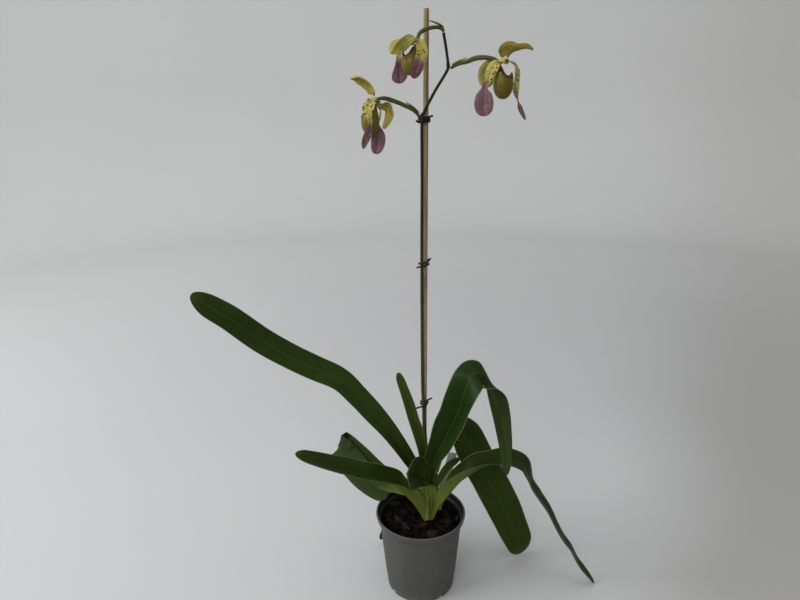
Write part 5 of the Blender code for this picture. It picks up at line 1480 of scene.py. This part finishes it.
def pouch_shape(bloom, tone):
    """Points, faces and marks of one pouch, in metres."""
    centre, facing = np.array(bloom["centre"]) / MM, unit(bloom["facing"])
    pouch = bloom["pouch"]
    mouth, bottom = (np.array(pouch[key], float) for key in ("mouth", "bottom"))
    up_way = unit(mouth - bottom)
    depth = unit(facing - up_way * np.dot(facing, up_way))
    width = np.cross(up_way, depth)
    height = np.linalg.norm(mouth - bottom)
    steps = np.sin(np.linspace(0.02, math.pi / 2, POUCH_RINGS))
    layers = [(step, 0.0, 0.0) for step in steps]
    layers += [(1.0, POUCH_WALL * inset, RIM_ROLL * lip) for inset, lip in RIM_LAYERS]
    layers += [(step, POUCH_WALL, 0.0) for step in steps[::-1]]
    rings, levels, insides = [], [], []
    for share, inset, lip in layers:
        ring = []
        for k in range(POUCH_SIDES):
            turn = 2 * math.pi * k / POUCH_SIDES
            signed = (turn + math.pi) % (2 * math.pi) - math.pi
            rise = rim_height(signed) * share
            uneven = noise.noise(Vector((2 * math.cos(turn), 2 * math.sin(turn), tone)))
            flare = RIM_FLARE * smooth(share, 0.86, 1.0) * (1 + 0.8 * uneven)
            girth = pouch_girth(rise)
            folds = noise.noise(Vector((1.5 * math.cos(turn), 1.5 * math.sin(turn), 3 * rise + tone * 9)))
            crease = POUCH_CREASE * folds
            across_way = width * math.sin(turn) * ((pouch["half_width"] - inset) * girth + flare + crease)
            out_way = depth * math.cos(turn) * ((pouch["half_depth"] - inset) * girth + flare + crease)
            lift = inset * (1 - share) + lip
            ring.append(centre + bottom + up_way * (rise * height + lift) + across_way + out_way)
        rings.append(ring)
        levels.append(share)
        insides.append(0.0 if inset < POUCH_WALL * 0.5 else 1.0)
    points, faces = skinned(np.array(rings) * MM)
    marks = {
        "level": np.repeat(levels, POUCH_SIDES),
        "inside": np.repeat(insides, POUCH_SIDES),
        "tone": np.full(len(points), tone),
    }
    return points, faces, marks


for name, bloom in BLOOMS.items():
    points, faces, marks = pouch_shape(bloom, POUCH_TONES[name])
    make_piece(name + "_pouch_skin", points, faces, pouch_olive.material, [name + "_pouch"], marks)

# %% [markdown]
# ## The middle of each bloom
# Stamens and stigma are fused into one short post. In front it carries a shield with a notch at the
# top and a dark centre. Post and shield could be two pieces, but they have grown together, so one
# row of rings runs from the back of the post to the face of the shield.

# %% Middles
# The post from back to front, as place and radius, and the two rings that close its face
POST_RINGS = [(-3.0, 1.4), (-2.4, 2.4), (-1, 2.9), (1.5, 2.9), (3, 2.0), (4.6, 2.0), (6.4, 3.8)]
POST_RINGS += [(7.6, 4.0), (8.4, 2.6)]
POST_FACE = np.array([(8.45, 1.4), (8.5, 0.3)])
POST_STEPS = 50
POST_SIDES = 40


def post_shape(bloom):
    """Points, faces and marks of the post and shield of one bloom, in metres."""
    centre, facing = np.array(bloom["centre"]) / MM, unit(bloom["facing"])
    stations = np.array(POST_RINGS)
    along = np.concatenate([np.linspace(stations[0, 0], stations[-1, 0], POST_STEPS), POST_FACE[:, 0]])
    radii = np.interp(along, stations[:, 0], stations[:, 1])
    radii = np.convolve(np.pad(radii, 2, "edge"), [0.1, 0.2, 0.4, 0.2, 0.1], "valid")
    radii[-2:] = POST_FACE[:, 1]
    upright = unit(np.array([0, 0, 1]) - facing * facing[2])
    level_way = np.cross(upright, facing)
    rings, hearts = [], []
    for far, radius in zip(along, radii):
        shield_share = smooth(far, 4.8, 6.4)
        for k in range(POST_SIDES):
            turn = 2 * math.pi * k / POST_SIDES
            notch = 0.30 * math.exp(-((turn - math.pi / 2) / 0.32) ** 2)
            lobe = 1 + shield_share * (0.10 * math.cos(2 * turn) - notch)
            sideways = level_way * math.cos(turn) * radius * lobe
            spot = sideways + upright * math.sin(turn) * radius * lobe * 0.95
            rings.append(centre + facing * (far + 0.15 * math.cos(3 * turn) * shield_share) + spot)
            hearts.append(float(smooth(far, 8.0, 8.35) * (1 - smooth(radius * lobe, 1.6, 2.6))))
    points, faces = skinned(np.array(rings).reshape(len(along), POST_SIDES, 3) * MM)
    return points, faces, {"heart": hearts}


for name, bloom in BLOOMS.items():
    points, faces, marks = post_shape(bloom)
    make_piece(name + "_middle", points, faces, shield.material, [name + "_column"], marks)

# %% [markdown]
# ## Ovaries and bracts
# Behind each bloom its ovary runs back to the stem as a ribbed, slightly twisted stalk. The ribs
# could be a bump, but a bump leaves the outline smooth. So the radius itself rises and falls round
# each ring, and the same numbers paint shade into the grooves.

# %% Ovary shape
OVARY_END = 3.45
RIBS = 6
RIB_TWIST = 0.035
RIB_HEIGHT = 0.07
OVARY_SIDES = 48
OVARY_STEP = 0.6


def ovary_shape(bloom):
    """Points, faces and marks of the ovary from the stem to the back of the bloom, in metres."""
    centre, facing = np.array(bloom["centre"]) / MM, unit(bloom["facing"])
    end = -facing * OVARY_END
    course = Course([*bloom["ovary"], (*(end - facing * 2.5), 1.8), (*end, 1.4)])
    places = np.linspace(0, course.length, round(course.length / OVARY_STEP))
    rows, _ = course.at(places)
    turns = np.linspace(0, 2 * math.pi, OVARY_SIDES, endpoint=False)
    ribbing = np.cos(RIBS * (turns[None] + RIB_TWIST * places[:, None]))
    radii = rows[:, 3:4] * (1 + RIB_HEIGHT * ribbing * smooth(places, 2, 8)[:, None])
    points, faces = skinned(hose_rings((centre + rows[:, :3]) * MM, radii * MM, OVARY_SIDES))
    # The rib mark is 1 in the grooves, where it paints shade
    return points, faces, {"rib": smooth(-ribbing, 0.2, 0.9).ravel()}


print("points of the left ovary:", len(ovary_shape(BLOOMS["bloom_left"])[0]))

# %% [markdown]
# ## The bracts
# A bract is a small leaf that lies over the upper side of each ovary. Its stations could be written
# out like those of the petals, but they follow the ovary at a small distance, so they are worked out
# from it. Its fold is negative, because it clasps what lies below it.

# %% Ovaries and bracts
BRACT_HALVES = (2.2, 2.9, 3.0, 2.6, 2.0, 1.2)
BRACT_FOLD = -32
BRACT_ABOVE = 1.5


def bract_shape(bloom):
    """Points, faces and marks of the bract over one ovary, in metres."""
    centre = np.array(bloom["centre"]) / MM
    start, end, lift = bloom["bract"]
    count = len(BRACT_HALVES)
    rows, tangents = Course(bloom["ovary"]).at(np.linspace(start, end, count))
    stations = []
    for k, (row, tangent, half) in enumerate(zip(rows, tangents, BRACT_HALVES)):
        upright = unit(np.array([0, 0, 1]) - tangent * tangent[2])
        spot = row[:3] + upright * (row[3] + BRACT_ABOVE + lift * k / (count - 1)) + centre
        stations.append((*spot, *upright, half, BRACT_FOLD))
    course = Course(stations)
    return blade(
        course, 0.0, course.length, 4, 0.8, 0.65, seed=start, columns=19, step=0.6, wave=0.2, curl=6.0,
        keel=0.2, groove=0.1, bulge=0.04,
    )


for name, bloom in BLOOMS.items():
    points, faces, marks = ovary_shape(bloom)
    make_piece(name + "_ovary_skin", points, faces, ovary_dark.material, [name + "_ovary"], marks)
    points, faces, marks = bract_shape(bloom)
    make_piece(name + "_bract_blade", points, faces, bract_green.material, [name + "_bract"], marks)

# %% [markdown]
